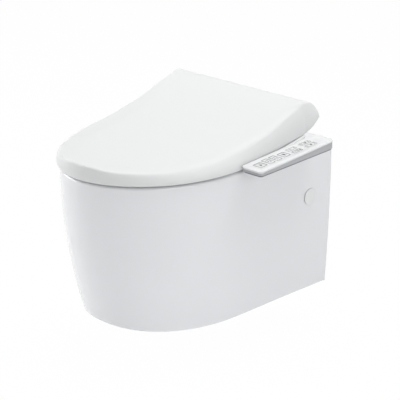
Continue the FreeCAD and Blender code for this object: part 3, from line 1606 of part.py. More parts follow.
def make_panel():
    wide = size("panel_width")
    long = size("panel_length")
    corner = size("panel_corner")
    plate = size("panel_plate")
    wall = size("panel_wall")
    height = size("panel_height")

    shell = rounded_block((0.6, 0.6, -height), (wide - 0.6, long - 0.6, -plate - touch()),
                          corner - 0.6)
    room = rounded_block((wall, wall, -height + wall), (wide - wall, long - wall, 0), corner - wall)
    shell = shell.cut(room)
    ledges = [block((wall - 0.5, along, -height + wall - 0.1),
                    (wide - wall + 0.5, along + 3.0, -size("panel_board_depth") - touch()))
              for along in (14.0, long / 2, long - 17.0)]
    shell = shell.fuse(ledges)
    shell.Placement = panel_frame()
    rim = size("rim_height")
    arm_low = rim + size("panel_arm_rise")
    arm = block((size("case_half") + touch(), -size("panel_arm_start"), arm_low),
                (size("panel_side") + 1.5, -size("panel_arm_start") + size("panel_arm_length"),
                 arm_low + size("panel_arm_height")))
    shell = shell.fuse(arm)
    piece("panel_body", feature("panel_body", shell.removeSplitter()))

    top = rounded_block((0, 0, -plate), (wide, long, 0), corner)
    holes = [key_block(key, size("key_play"), -plate - 1.0, 1.0) for key in KEYS]
    piece("panel_plate", feature("panel_plate", top.cut(holes)), panel_frame())

    board_low = -size("panel_board_depth")
    board = block((wall + 0.3, corner, board_low), (wide - wall - 0.3, long - corner,
                                                 board_low + size("board_thick")))
    key_low = -plate - 1.4 - size("key_travel")
    domes = []
    for key in KEYS:
        dome_top = key_low - size("key_travel") - 0.1
        domes.append(bar(3.0, (key[2], key[1], board_low + size("board_thick") - 0.1), (0, 0, 1),
                         dome_top - board_low - size("board_thick") + 0.1))
    piece("panel_board", feature("panel_board", board.fuse(domes)), panel_frame())

    for key in KEYS:
        cap = key_block(key, 0, key_low, size("key_proud"))
        flange = key_block(key, size("key_flange"), key_low, -plate - 0.1)
        piece(key[0], feature(key[0], cap.fuse(flange).removeSplitter()), panel_frame())


# ---------------------------------------------------------------- build, check and write

make_pan()
make_gasket()
make_brackets()
make_fixings()
make_deck_plate()
make_case()
make_hinges()
make_seat()
make_lid()
make_wand()
make_guide()
make_pinion_drive()
make_water_side()
make_air_side()
make_electrics()
make_panel()
doc.recompute()

for item in doc.Objects:
    if "Invalid" in item.State or "Error" in item.State:
        raise RuntimeError(f"{item.Label} failed to build: {item.State}")
for item in pieces:
    if item.Shape.isNull() or not item.Shape.isValid() or not item.Shape.Solids:
        raise RuntimeError(f"{item.Label} has no sound shape")

os.makedirs("parts", exist_ok=True)
for item in pieces:
    item.Shape.exportStep(os.path.join("parts", f"{item.Label}.step"))
    print(f"{item.Label}: {len(item.Shape.Solids)} solid(s), {item.Shape.Volume / 1000:.1f} cm3")
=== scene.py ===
# %% [markdown]
# # A wall-hung smart toilet, dressed round its CAD frame
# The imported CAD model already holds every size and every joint. This lesson adds what the eye
# sees: soft edges, the sweep of the lid, the glaze, the prints on the keys. All of it stands in
# the frame of the CAD, in metres: the wall is y = 0, the front faces -Y and the panel is at +X.
# Outlines are drawn in millimetres, back from the wall and up from the rim, and then laid there.

# %% Load the frame
import json
import math

import bmesh
import bpy
from mathutils import Matrix, Vector


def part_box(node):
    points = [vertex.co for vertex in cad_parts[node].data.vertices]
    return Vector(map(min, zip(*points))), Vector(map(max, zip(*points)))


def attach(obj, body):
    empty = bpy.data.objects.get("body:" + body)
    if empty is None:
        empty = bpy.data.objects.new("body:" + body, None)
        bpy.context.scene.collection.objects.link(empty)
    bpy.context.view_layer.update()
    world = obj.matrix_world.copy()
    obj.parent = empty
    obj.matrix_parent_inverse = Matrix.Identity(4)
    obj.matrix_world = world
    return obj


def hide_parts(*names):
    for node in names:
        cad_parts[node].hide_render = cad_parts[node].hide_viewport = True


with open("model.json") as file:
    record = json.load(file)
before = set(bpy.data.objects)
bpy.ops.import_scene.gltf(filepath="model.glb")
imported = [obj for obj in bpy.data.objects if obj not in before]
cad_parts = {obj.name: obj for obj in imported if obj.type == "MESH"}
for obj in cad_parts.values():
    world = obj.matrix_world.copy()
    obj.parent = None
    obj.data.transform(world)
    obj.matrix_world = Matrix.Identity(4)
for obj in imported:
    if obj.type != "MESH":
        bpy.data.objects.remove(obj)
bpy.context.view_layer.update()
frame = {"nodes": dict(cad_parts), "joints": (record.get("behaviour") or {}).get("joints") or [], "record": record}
nodes = frame["nodes"]
MM = 0.001
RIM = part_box("ceramic_pan")[1].z
joints = {joint["name"]: joint for joint in frame["joints"]}
HINGE = Vector(joints["seat_hinge"]["pos_m"])
print(f"{len(nodes)} CAD nodes, rim at {RIM:.3f} m, hinge line at {tuple(HINGE)}")

# %% [markdown]
# ## Camera
# A product photo is taken from far away with a long lens, so that parallel edges stay nearly
# parallel. The place, aim and lens come from fitting the outline of the pan, lid and panel.

# %% Camera
CAMERA_PLACE = Vector((2.6735, -3.0702, 1.385))
CAMERA_AIM = Vector((0.0218, -0.2258, -0.006))
SENSOR_WIDTH, LENS = 36, 182.3
bpy.ops.object.camera_add(location=CAMERA_PLACE)
camera = bpy.context.object
camera.name = "camera"
camera.data.sensor_width = SENSOR_WIDTH
camera.data.lens = LENS
camera.rotation_euler = (CAMERA_AIM - CAMERA_PLACE).to_track_quat("-Z", "Y").to_euler()
bpy.context.scene.camera = camera
bpy.context.scene.view_settings.view_transform = "Standard"
print(f"camera {(CAMERA_PLACE - CAMERA_AIM).length:.2f} m from its aim")

# %% [markdown]
# ## Studio
# White ware is lit by a dim, even sky with one wide lamp above, one at each side and weak ones in
# front, low down and behind, so shapes read by slow shading and not by hard shadows. The
# background is white for rays that come from the camera, off a gloss or through glass, so that
# metal and glass show it too. The light on the object comes from the dimmer sky, so the sides
# that turn away from the lamps darken a little, as they do in the photo.

# %% Sky
SKY_LEVEL = 0.17
WHITE = (1, 1, 1, 1)


def new_node(tree, kind, **values):
    """Add a shader node and set its properties and its unlinked sockets."""
    node = tree.nodes.new(kind)
    for name, value in values.items():
        if hasattr(node, name):
            setattr(node, name, value)
        else:
            node.inputs[name.replace("_", " ")].default_value = value
    return node


def shows_white(tree):
    """1 for a ray from the camera, off a gloss or through glass, and 0 for a ray that lights."""
    path = new_node(tree, "ShaderNodeLightPath")
    seen_by = path.outputs["Is Camera Ray"]
    for kind in ("Is Glossy Ray", "Is Transmission Ray"):
        either = new_node(tree, "ShaderNodeMath", operation="MAXIMUM")
        tree.links.new(seen_by, either.inputs[0])
        tree.links.new(path.outputs[kind], either.inputs[1])
        seen_by = either.outputs[0]
    return seen_by


sky = bpy.data.worlds.new("studio_sky")
sky.use_nodes = True
tree = sky.node_tree
tree.nodes.clear()
lighting = new_node(tree, "ShaderNodeBackground", Color=WHITE, Strength=SKY_LEVEL)
seen = new_node(tree, "ShaderNodeBackground", Color=WHITE, Strength=1.0)
choose = new_node(tree, "ShaderNodeMixShader")
out = new_node(tree, "ShaderNodeOutputWorld")
tree.links.new(shows_white(tree), choose.inputs[0])
tree.links.new(lighting.outputs[0], choose.inputs[1])
tree.links.new(seen.outputs[0], choose.inputs[2])
tree.links.new(choose.outputs[0], out.inputs[0])
bpy.context.scene.world = sky
print(f"sky at {SKY_LEVEL}")

# %% Floor
FLOOR_HEIGHT, FLOOR_SIZE = -0.30, 12.0
FLOOR_GLOW = 0.98
FLOOR_SHADE = (0.94, 0.94, 0.945, 1)
bpy.ops.mesh.primitive_plane_add(size=FLOOR_SIZE, location=(0, 0, FLOOR_HEIGHT))
floor = bpy.context.object
floor.name = "floor"
pale = bpy.data.materials.new("pale_floor")
pale.use_nodes = True
tree = pale.node_tree
tree.nodes.clear()
matt = new_node(tree, "ShaderNodeBsdfDiffuse", Color=FLOOR_SHADE)
glow = new_node(tree, "ShaderNodeEmission", Color=WHITE, Strength=1.0)
share = new_node(tree, "ShaderNodeMath", operation="MULTIPLY")
share.inputs[1].default_value = FLOOR_GLOW
choose = new_node(tree, "ShaderNodeMixShader")
out = new_node(tree, "ShaderNodeOutputMaterial")
tree.links.new(shows_white(tree), share.inputs[0])
tree.links.new(share.outputs[0], choose.inputs[0])
tree.links.new(matt.outputs[0], choose.inputs[1])
tree.links.new(glow.outputs[0], choose.inputs[2])
tree.links.new(choose.outputs[0], out.inputs[0])
floor.data.materials.append(pale)
print(f"floor at {FLOOR_HEIGHT} m")

# %% Lamps
LAMP_AIM = Vector((0.0, -0.3, 0.0))
LAMPS = (
    ("lamp_above", (0.25, 0.1, 2.6), 2.2, 57.0),
    ("lamp_right", (3.2, -1.0, 0.9), 2.0, 36.0),
    ("lamp_left", (-3.0, -1.4, 0.8), 2.0, 58.0),
    ("lamp_front", (-2.0, -2.8, 1.6), 2.0, 12.0),
    ("lamp_low", (0.6, -3.6, 0.3), 2.0, 9.5),
    ("lamp_rear", (1.5, 2.6, 1.4), 2.4, 8.0),
)
for name, place, width, power in LAMPS:
    bpy.ops.object.light_add(type="AREA", location=place)
    lamp = bpy.context.object
    lamp.name = name
    lamp.data.size = width
    lamp.data.energy = power
    lamp.rotation_euler = (LAMP_AIM - Vector(place)).to_track_quat("-Z", "Y").to_euler()
    print(f"{name}: {power} W, {width} m wide")

# %% [markdown]
# ## Finishes
# A white surface is never one flat colour. Each finish starts from one shade, drifts a little
# over the surface, and gets a fine bump and an uneven roughness, at the scale that the real
# glaze, moulding or metal has. Fixed numbers sit on the shader itself, so the export keeps them.

# %% Finish maker
DRIFT_SCALE, PATCH_SCALE = 7.0, 35.0
# A finish whose roughness crosses 0.27 renders mottled, so the spread is narrow.
ROUGH_LOW, ROUGH_HIGH = 0.92, 1.08
BUMP_STRENGTH = 0.5
MIX_FIRST, MIX_SECOND, MIX_RESULT = 6, 7, 2


def finish(name, shade, rough, grain, depth, drift=0.02, metal=0.0, stretch=(1, 1, 1), coat=0.0,
           gleam=0.5):
    """A finish from one shade: slow colour drift, uneven roughness and a fine bump."""
    made = bpy.data.materials.new(name)
    made.use_nodes = True
    tree = made.node_tree
    tree.nodes.clear()
    shader = new_node(tree, "ShaderNodeBsdfPrincipled", Metallic=metal)
    shader.inputs["Coat Weight"].default_value = coat
    shader.inputs["Specular IOR Level"].default_value = gleam
    out = new_node(tree, "ShaderNodeOutputMaterial")
    tree.links.new(shader.outputs[0], out.inputs[0])
    place = new_node(tree, "ShaderNodeTexCoord")
    grid = new_node(tree, "ShaderNodeMapping")
    grid.inputs["Scale"].default_value = stretch
    tree.links.new(place.outputs["Object"], grid.inputs[0])

    slow = new_node(tree, "ShaderNodeTexNoise", Scale=DRIFT_SCALE, Detail=3.0)
    tint = new_node(tree, "ShaderNodeMix", data_type="RGBA")
    tint.inputs[MIX_FIRST].default_value = (*[c * (1 - drift) for c in shade], 1)
    tint.inputs[MIX_SECOND].default_value = (*[min(1, c * (1 + drift)) for c in shade], 1)
    tree.links.new(place.outputs["Object"], slow.inputs["Vector"])
    tree.links.new(slow.outputs["Fac"], tint.inputs[0])
    tree.links.new(tint.outputs[MIX_RESULT], shader.inputs["Base Color"])

    patch = new_node(tree, "ShaderNodeTexNoise", Scale=PATCH_SCALE, Detail=2.0)
    span = new_node(tree, "ShaderNodeMapRange")
    span.inputs["To Min"].default_value = rough * ROUGH_LOW
    span.inputs["To Max"].default_value = min(1, rough * ROUGH_HIGH)
    tree.links.new(grid.outputs[0], patch.inputs["Vector"])
    tree.links.new(patch.outputs["Fac"], span.inputs[0])
    tree.links.new(span.outputs[0], shader.inputs["Roughness"])

    fine = new_node(tree, "ShaderNodeTexNoise", Scale=grain, Detail=4.0)
    bump = new_node(tree, "ShaderNodeBump", Strength=BUMP_STRENGTH, Distance=depth)
    tree.links.new(grid.outputs[0], fine.inputs["Vector"])
    tree.links.new(fine.outputs["Fac"], bump.inputs["Height"])
    tree.links.new(bump.outputs[0], shader.inputs["Normal"])
    return made


# %% The finishes of this object
FINISHES = {
    "ceramic": finish("glazed_ceramic", (0.80, 0.81, 0.83), 0.10, 90, 0.00006, 0.012, coat=0.1),
    "lid_plastic": finish("lid_gloss", (0.75, 0.76, 0.76), 0.34, 1500, 0.000001, 0.005,
                          gleam=0.1),
    "seat_plastic": finish("seat_gloss", (0.81, 0.82, 0.82), 0.20, 1500, 0.000001, 0.005),
    "case_plastic": finish("case_satin", (0.80, 0.81, 0.81), 0.32, 500, 0.00005, 0.012),
    "panel_white": finish("panel_gloss", (0.79, 0.80, 0.805), 0.24, 400, 0.00001, 0.006),
    "panel_grey": finish("panel_side_grey", (0.45, 0.46, 0.48), 0.38, 700, 0.00006, 0.02),
    # Painted shade: a darker copy of the panel's side grey stands for the shadow under the panel.
    "sole_painted_shade": finish("panel_sole_painted_shade", (0.20, 0.21, 0.22), 0.45, 700, 0.00006, 0.02),
    "dark_plastic": finish("dark_moulding", (0.035, 0.037, 0.04), 0.45, 900, 0.0001, 0.08),
    "pale_plastic": finish("pale_moulding", (0.70, 0.71, 0.71), 0.40, 700, 0.00008, 0.02),
    "steel": finish("brushed_steel", (0.56, 0.57, 0.58), 0.30, 400, 0.00006, 0.05, 1.0, (1, 1, 14)),
    "brass": finish("plain_brass", (0.72, 0.52, 0.22), 0.24, 300, 0.00006, 0.06, 1.0),
    "rubber": finish("pale_rubber", (0.58, 0.59, 0.61), 0.62, 1200, 0.00012, 0.03),
    "mat_foam": finish("foam_mat", (0.74, 0.74, 0.72), 0.88, 420, 0.0006, 0.05),
    "board": finish("board_green", (0.02, 0.12, 0.06), 0.42, 240, 0.0002, 0.25),
    "foil": finish("heater_foil", (0.70, 0.71, 0.72), 0.22, 180, 0.0003, 0.05, 1.0),
}
for part in frame["record"]["subparts"]:
    node = nodes[part["node"]]
    for slot in node.material_slots:
        slot.material = FINISHES[part["material_slot"]]
print(f"{len(FINISHES)} finishes on {len(nodes)} nodes")

# %% [markdown]
# ## Modelling helpers
# A soft closed shape such as a lid or a pan is easiest to draw as rings: start from a circle,
# extrude it, and lay each new ring on the next outline. The helper below does that and returns
# the finished mesh, with its faces turned outwards.

# %% Ring modelling
SAME_PLACE, TINY_EDGE = 0.00002, 0.00001


def clear_selection():
    bpy.ops.object.select_all(action="DESELECT")


def pick(piece):
    clear_selection()
    piece.select_set(True)
    bpy.context.view_layer.objects.active = piece


def shade_smooth(piece, angle=40):
    """Shade a piece smoothly up to an angle between faces."""
    pick(piece)
    bpy.ops.object.shade_smooth_by_angle(angle=math.radians(angle))


def ring_shape(name, rings, close_start=True, close_end=True):
    """A circle extruded ring by ring; each ring is laid on its own outline."""
    clear_selection()
    bpy.ops.mesh.primitive_circle_add(vertices=len(rings[0]), radius=1.0)
    piece = bpy.context.object
    piece.name = name
    piece.data.name = name
    bpy.ops.object.mode_set(mode="EDIT")
    shape = bmesh.from_edit_mesh(piece.data)
    shape.verts.ensure_lookup_table()
    order = list(range(len(rings[0])))
    for index, spot in zip(order, rings[0]):
        shape.verts[index].co = spot
    for ring in rings[1:]:
        bpy.ops.mesh.extrude_edges_move()
        shape = bmesh.from_edit_mesh(piece.data)
        shape.verts.index_update()
        shape.verts.ensure_lookup_table()
        fresh = []
        for index in order:
            old = shape.verts[index]
            fresh.append(next(edge.other_vert(old).index for edge in old.link_edges
                              if edge.other_vert(old).select))
        order = fresh
        for index, spot in zip(order, ring):
            shape.verts[index].co = spot
        bmesh.update_edit_mesh(piece.data)
    if close_end:
        bpy.ops.mesh.edge_face_add()
        bpy.ops.mesh.poke()
    if close_start:
        bpy.ops.mesh.select_all(action="DESELECT")
        shape = bmesh.from_edit_mesh(piece.data)
        shape.verts.ensure_lookup_table()
        for index in range(len(rings[0])):
            shape.verts[index].select_set(True)
        shape.select_flush(True)
        bmesh.update_edit_mesh(piece.data)
        bpy.ops.mesh.edge_face_add()
        bpy.ops.mesh.poke()
    bpy.ops.mesh.select_all(action="SELECT")
    bpy.ops.mesh.remove_doubles(threshold=SAME_PLACE)
    bpy.ops.mesh.dissolve_degenerate(threshold=TINY_EDGE)
    bpy.ops.mesh.select_all(action="SELECT")
    bpy.ops.mesh.normals_make_consistent(inside=False)
    bpy.ops.object.mode_set(mode="OBJECT")
    return piece


# %% Edges and finish of a piece
def soften(piece, width=0.0008, steps=2, angle=50, smooth=35):
    """Round the hard edges of a piece and shade the rest smoothly."""
    pick(piece)
    rounding = piece.modifiers.new("rounding", "BEVEL")
    rounding.width = width
    rounding.segments = steps
    rounding.limit_method = "ANGLE"
    rounding.angle_limit = math.radians(angle)
    rounding.harden_normals = False
    bpy.ops.object.modifier_apply(modifier="rounding")
    shade_smooth(piece, smooth)


def paint(piece, look):
    """Give a piece one finish and no other."""
    piece.data.materials.clear()
    piece.data.materials.append(FINISHES[look])


def dress(piece, body, slot, *stands_for):
    """Give a piece its finish and its body, and hide the CAD nodes that it stands for."""
    paint(piece, slot)
    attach(piece, body)
    if stands_for:
        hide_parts(*stands_for)
    print(f"{piece.name}: {len(piece.data.polygons)} faces, rides on {body}")


# %% [markdown]
# ## Plan outline
# Seen from above, the pan, seat and lid are straight near the wall and a slightly squared oval
# in front. A superellipse draws that curve with one power for the front and one for the sides.

# %% Plan outline
RIM_PLAN = {"reach": 538.4, "half": 185.0, "rear_half": 182.0, "straight": 303.6,
            "front_power": 2.08, "side_power": 1.89}


def half_width(plan, back, grow=0.0):
    """Half the width of a plan outline at a distance from the wall, in mm."""
    if back <= plan["straight"]:
        share = max(back, 0) / plan["straight"]
        spread = (plan["half"] - plan["rear_half"]) * (1 - (1 - share) ** 2)
        return plan["rear_half"] + spread + grow
    share = min((back - plan["straight"]) / (plan["reach"] + grow - plan["straight"]), 1.0)
    sine = share ** (plan["front_power"] / 2)
    return (plan["half"] + grow) * max(1 - sine * sine, 0) ** (1 / plan["side_power"])


def hermite(table, at):
    """A smooth line through (place, value) points, rising in place."""
    if at <= table[0][0]:
        return table[0][1]
    if at >= table[-1][0]:
        return table[-1][1]
    low = max(index for index in range(len(table) - 1) if table[index][0] <= at)

    def slope(index):
        first, last = max(index - 1, 0), min(index + 1, len(table) - 1)
        return (table[last][1] - table[first][1]) / (table[last][0] - table[first][0])

    (x0, y0), (x1, y1) = table[low], table[low + 1]
    span = x1 - x0
    t = (at - x0) / span
    return (y0 * (1 + 2 * t) * (1 - t) ** 2 + slope(low) * span * t * (1 - t) ** 2
            + y1 * t * t * (3 - 2 * t) + slope(low + 1) * span * t * t * (t - 1))


# %% [markdown]
# ## Lid
# The lid is one thin moulding: a top that dips in front and sweeps up to the hinge, a round nose
# along the back, and a deep side that leans inwards up to a crease. It could be cut from a block,
# but a moulding is a bent sheet, so it is drawn as one: rings that start at the side's lower
# edge, climb to the crease, roll over it and run inwards to the middle, then get a wall.

# %% Lid: side view and crease
NOSE_RADIUS = 38.0
NOSE_LOW, NOSE_HIGH, NOSE_TURN = 2, 110, 4
SHEET_REAR, SHEET_FRONT, SHEET_STEP = 101.0, 548.0, 3.0
LID_TOP = ((98.0, 93.7), (110, 89.6), (125, 83.6), (140, 77.2), (164, 67.0), (194, 55.5),
           (218, 47.5), (251, 39.5), (288, 33.2), (322, 29.8), (362, 27.2), (396, 26.0),
           (434, 25.6), (472, 26.0), (498, 27.4), (514, 29.6), (524, 32.0), (532, 35.0),
           (538, 37.4), (548, 40.0))
CREASE_RISE = ((98, 91.4), (130, 81.4), (165, 69.2), (200, 57.8), (250, 45.8), (300, 37.0),
               (350, 32.0), (400, 29.2), (450, 28.6), (480, 29.4), (500, 30.4), (515, 31.6),
               (527, 33.4), (535, 35.6), (541, 38.0))
CREASE_INSET = ((98, 10.5), (200, 9.5), (300, 11.2), (400, 11.4), (450, 8.6), (480, 6.2),
                (510, 4.2), (530, 2.2), (541, 1.4))
hinge_back, hinge_rise = -HINGE.y / MM, (HINGE.z - RIM) / MM
stations = []
for angle in range(NOSE_LOW, NOSE_HIGH + 1, NOSE_TURN):
    turn = math.radians(angle)
    stations.append((hinge_back - NOSE_RADIUS * math.cos(turn),
                     hinge_rise + NOSE_RADIUS * math.sin(turn)))
NOSE_STATIONS = len(stations)
back = SHEET_REAR
while back < SHEET_FRONT:
    stations.append((back, hermite(LID_TOP, back)))
    back += SHEET_STEP
runs = [0.0]
for (y0, z0), (y1, z1) in zip(stations, stations[1:]):
    runs.append(runs[-1] + math.hypot(y1 - y0, z1 - z0))
NOSE_RUN = runs[NOSE_STATIONS - 1]
print(f"nose {NOSE_RUN:.0f} mm round, whole sheet {runs[-1]:.0f} mm long")


def on_sheet(run):
    """Distance from the wall, rise, and the outward direction at a run along the lid's sheet."""
    run = min(max(run, 0.0), runs[-1])
    low = max(index for index in range(len(runs) - 1) if runs[index] <= run)
    share = (run - runs[low]) / (runs[low + 1] - runs[low])
    (y0, z0), (y1, z1) = stations[low], stations[low + 1]
    before = stations[max(low - 1, 0)]
    after = stations[min(low + 2, len(stations) - 1)]
    ahead = math.hypot(after[0] - before[0], after[1] - before[1])
    along = ((after[0] - before[0]) / ahead, (after[1] - before[1]) / ahead)
    return y0 + (y1 - y0) * share, z0 + (z1 - z0) * share, -along[1], along[0]


def run_at(back):
    """The run along the sheet at a distance from the wall, in front of the nose."""
    low = next(index for index in range(NOSE_STATIONS - 1, len(stations) - 1)
               if stations[index + 1][0] >= back)
    share = (back - stations[low][0]) / (stations[low + 1][0] - stations[low][0])
    return runs[low] + share * (runs[low + 1] - runs[low])


# %% Lid: outlines
LID_OUT = 5.3
LID_LOW = 6.0
SIDE_REAR = 98.0
NOSE_INSET, NOSE_INSET_PACE, NOSE_TUCK, NOSE_TUCK_PACE, NOSE_ROLL_RUN = 3.0, 1.6, 2.4, 3, 20
FLARE = 1.2
NOSE_EDGE = ((47.0, 59.4), (49.0, 57.6), (53.0, 54.0), (64.0, 47.2), (76.0, 40.6), (98.0, 34.2))
ROLL_RADIUS = 4.6
EDGE_REAR, EDGE_FRONT = (93.0, 35.0), (297.0, 6.0)
EDGE_SAG, SAG_REAR = 2.6, 150.0
REAR_STEPS, NOSE_STEPS, SIDE_STEPS, FRONT_STEPS = 8, 22, 22, 42


def edge_rise(back):
    """Rise of the side's lower edge in front of the nose."""
    (rear, high), (front, low) = EDGE_REAR, EDGE_FRONT
    if back >= front:
        return low
    sag = EDGE_SAG * math.sin(math.pi * max(back - SAG_REAR, 0) / (front - SAG_REAR))
    return high + (low - high) * (back - rear) / (front - rear) - sag


def bow(turn, grow):
    """A point on the round front of the outline, grown outwards: across and back."""
    start = RIM_PLAN["straight"]
    back = start + (RIM_PLAN["reach"] + grow - start) * math.sin(turn) ** (
        2 / RIM_PLAN["front_power"])
    across = (RIM_PLAN["half"] + grow) * max(math.cos(turn), 0) ** (2 / RIM_PLAN["side_power"])
    return across, back


def sheet_point(across, run, sink=0.0):
    """A point on the lid's top, or sunk under it along its normal."""
    back, rise, out_back, out_rise = on_sheet(run)
    return Vector((across, back - out_back * sink, rise - out_rise * sink))


# %% Lid: points round the crease and the lower edge
half = []
for step in range(REAR_STEPS):
    width = half_width(RIM_PLAN, stations[0][0], LID_OUT) - NOSE_INSET
    half.append(("rear", width * step / REAR_STEPS, 0.0))
for step in range(NOSE_STEPS):
    half.append(("nose", NOSE_RUN * step / NOSE_STEPS, 0.0))
for step in range(SIDE_STEPS):
    half.append(("side", SIDE_REAR + (RIM_PLAN["straight"] - SIDE_REAR) * step / SIDE_STEPS, 0.0))
for step in range(FRONT_STEPS + 1):
    half.append(("front", 0.0, math.pi / 2 * step / FRONT_STEPS))


def outline_spot(kind, value, turn):
    """Where the crease and the lower edge lie for one point of the outline, before rounding."""
    if kind == "rear":
        spot = sheet_point(value, 0.0)
        return spot, spot.copy(), 0.0
    if kind == "nose":
        lean = min(value / NOSE_RUN, 1.0)
        gain = math.sin(math.pi / 2 * min(lean * NOSE_INSET_PACE, 1))
        inset = NOSE_INSET + (hermite(CREASE_INSET, SIDE_REAR) - NOSE_INSET) * gain
        wide = half_width(RIM_PLAN, on_sheet(value)[0], LID_OUT)
        low_back = stations[0][0] + (SIDE_REAR - stations[0][0]) * lean
        tuck = NOSE_TUCK * max(1 - lean * NOSE_TUCK_PACE, 0)
        low = Vector((wide - tuck, low_back, hermite(NOSE_EDGE, low_back)))
        return sheet_point(wide - inset, value), low, ROLL_RADIUS * min(value / NOSE_ROLL_RUN, 1)
    if kind == "side":
        wide = half_width(RIM_PLAN, value, LID_OUT)
        crease = Vector((wide - hermite(CREASE_INSET, value), value, hermite(CREASE_RISE, value)))
        return crease, Vector((wide + FLARE, value, edge_rise(value))), ROLL_RADIUS
    _, back = bow(turn, LID_OUT)
    across_in, back_in = bow(turn, LID_OUT - hermite(CREASE_INSET, back))
    low_across, low_back = bow(turn, LID_OUT + FLARE)
    crease = Vector((across_in, back_in, hermite(CREASE_RISE, back)))
    return crease, Vector((low_across, low_back, LID_LOW)), ROLL_RADIUS


def mirrored(line):
    """The other half of a closed outline."""
    return line + [Vector((-spot.x, spot.y, spot.z)) for spot in reversed(line[1:-1])]


def to_scene(spot):
    return Vector((spot.x * MM, -spot.y * MM, RIM + spot.z * MM))


spots = [outline_spot(*entry) for entry in half]
creases = mirrored([spot for spot, _, _ in spots])
lows = mirrored([low for _, low, _ in spots])
radii = [radius for _, _, radius in spots]
radii = radii + list(reversed(radii[1:-1]))
print(f"{len(creases)} points round the lid's crease")

# %% Lid: rings
MIDDLE = Vector((0.0, run_at(318.0)))
DISH = ((98, 0.0), (160, 0.3), (230, 1.2), (300, 2.2), (380, 2.8), (470, 2.4), (515, 1.2),
        (540, 0.0))
CREASE_BLEND, BLEND_PACE = 26.0, 1.2
SIDE_POWER = 2.3
EDGE_TUCK, TUCK_START = 1.4, 0.82
SIDE_SHARES = (1.0, 0.96, 0.91, 0.82, 0.7, 0.58, 0.46, 0.36, 0.28)
ROLL_STEPS, ROLL_LIMIT, ROLL_DOWN, ROLL_IN = 5, 0.2, 0.15, 0.97
TOP_START, TOP_END, TOP_CHANGE, TOP_FINE, TOP_COARSE = 0.968, 0.03, 0.72, 0.014, 0.035


def flat_spot(index):
    """A crease point on the unrolled sheet: across and run."""
    entry = half[index] if index < len(half) else half[len(creases) - index]
    spot = creases[index]
    if entry[0] in ("rear", "nose"):
        run = entry[1] if entry[0] == "nose" else 0.0
    else:
        run = run_at(spot.y)
    return Vector((spot.x, run))


count = len(creases)
flat = [flat_spot(index) for index in range(count)]
gaps = [creases[index].z - on_sheet(spot.y)[1] if spot.y > NOSE_RUN else 0.0
        for index, spot in enumerate(flat)]


def top_point(index, share):
    """A point of the lid's top: share 1 at the crease and 0 in the middle."""
    start = flat[index]
    spot = MIDDLE + (start - MIDDLE) * share
    away = (start - spot).length
    back, rise, _, _ = on_sheet(spot.y)
    if spot.y > NOSE_RUN:
        wide = max(half_width(RIM_PLAN, back, LID_OUT), 1.0)
        rise -= hermite(DISH, back) * max(1 - (spot.x / wide) ** 2, 0)
    fade = math.exp(-(away / CREASE_BLEND) ** 2 * BLEND_PACE)
    return Vector((spot.x, back, rise + gaps[index] * fade))


def side_point(index, share):
    """A point of the side, from the crease (0) down to the lower edge (1).

    It leans out fast under the crease, drops almost upright and tucks in a little at the edge.
    """
    top, low = creases[index], lows[index]
    spread = 1 - (1 - share) ** SIDE_POWER
    spot = top.lerp(low, spread)
    spot.z = top.z + (low.z - top.z) * share
    outward = Vector((spot.x, max(spot.y - RIM_PLAN["straight"], 0.0), 0.0))
    if outward.length > 0 and (low - top).length > 1.0:
        edge = max(share - TUCK_START, 0) / (1 - TUCK_START)
        spot -= outward.normalized() * EDGE_TUCK * edge ** 2
    return spot


# %% Lid: sheet
rings = []
for share in SIDE_SHARES:
    rings.append([to_scene(side_point(index, share)) for index in range(count)])
for step in range(ROLL_STEPS + 1):
    ring = []
    for index in range(count):
        crease = creases[index]
        radius = min(radii[index], ROLL_LIMIT * (lows[index] - crease).length)
        down = side_point(index, ROLL_DOWN) - crease
        inward = top_point(index, ROLL_IN) - crease
        if radius == 0.0 or down.length == 0 or inward.length == 0:
            ring.append(to_scene(crease))
            continue
        first = crease + down.normalized() * radius
        last = crease + inward.normalized() * radius
        share = step / ROLL_STEPS
        ring.append(to_scene(first * (1 - share) ** 2 + crease * 2 * share * (1 - share)
                             + last * share ** 2))
    rings.append(ring)
share = TOP_START
while share > TOP_END:
    rings.append([to_scene(top_point(index, share)) for index in range(count)])
    share -= TOP_FINE if share > TOP_CHANGE else TOP_COARSE
lid = ring_shape("lid", rings, close_start=False)
print(f"{len(rings)} rings")

# %% Lid: wall thickness and edges
LID_WALL = 0.003
pick(lid)
sheet = lid.modifiers.new("wall", "SOLIDIFY")
sheet.thickness = LID_WALL
sheet.offset = -1
sheet.use_even_offset = False
bpy.ops.object.modifier_apply(modifier="wall")
soften(lid, 0.0008, 2, 60, 40)
dress(lid, "lid", "lid_plastic", "lid_shell")

# %% [markdown]
# ## Hinge ears of the lid
# Two round ears inside the lid's rear corners carry the hinge shafts. Each is a short turned ring
# with a bore that clears its shaft and a small round on the rims.

# %% Lid ears
EAR_RADIUS, EAR_BORE = 0.014, 0.0063
EAR_INNER, EAR_OUTER = 0.1762, 0.1862
EAR_STEPS, EAR_RIM = 48, 0.0008


def turned_ring(name, x_start, x_end, outer, bore, middle):
    """A short tube along X with rounded rims."""
    rim = EAR_RIM
    rings = []
    for x, radius in ((x_start + rim, bore), (x_end - rim, bore), (x_end, bore + rim),
                      (x_end, outer - rim), (x_end - rim, outer), (x_start + rim, outer),
                      (x_start, outer - rim), (x_start, bore + rim), (x_start + rim, bore)):
        ring = []
        for step in range(EAR_STEPS):
            turn = 2 * math.pi * step / EAR_STEPS
            ring.append(Vector((x, middle.y + radius * math.cos(turn),
                                middle.z + radius * math.sin(turn))))
        rings.append(ring)
    piece = ring_shape(name, rings, close_start=False, close_end=False)
    shade_smooth(piece)
    return piece


for side, start, end in (("left", -EAR_OUTER, -EAR_INNER), ("right", EAR_INNER, EAR_OUTER)):
    dress(turned_ring(f"lid_ear_{side}", start, end, EAR_RADIUS, EAR_BORE, HINGE), "lid",
          "lid_plastic")

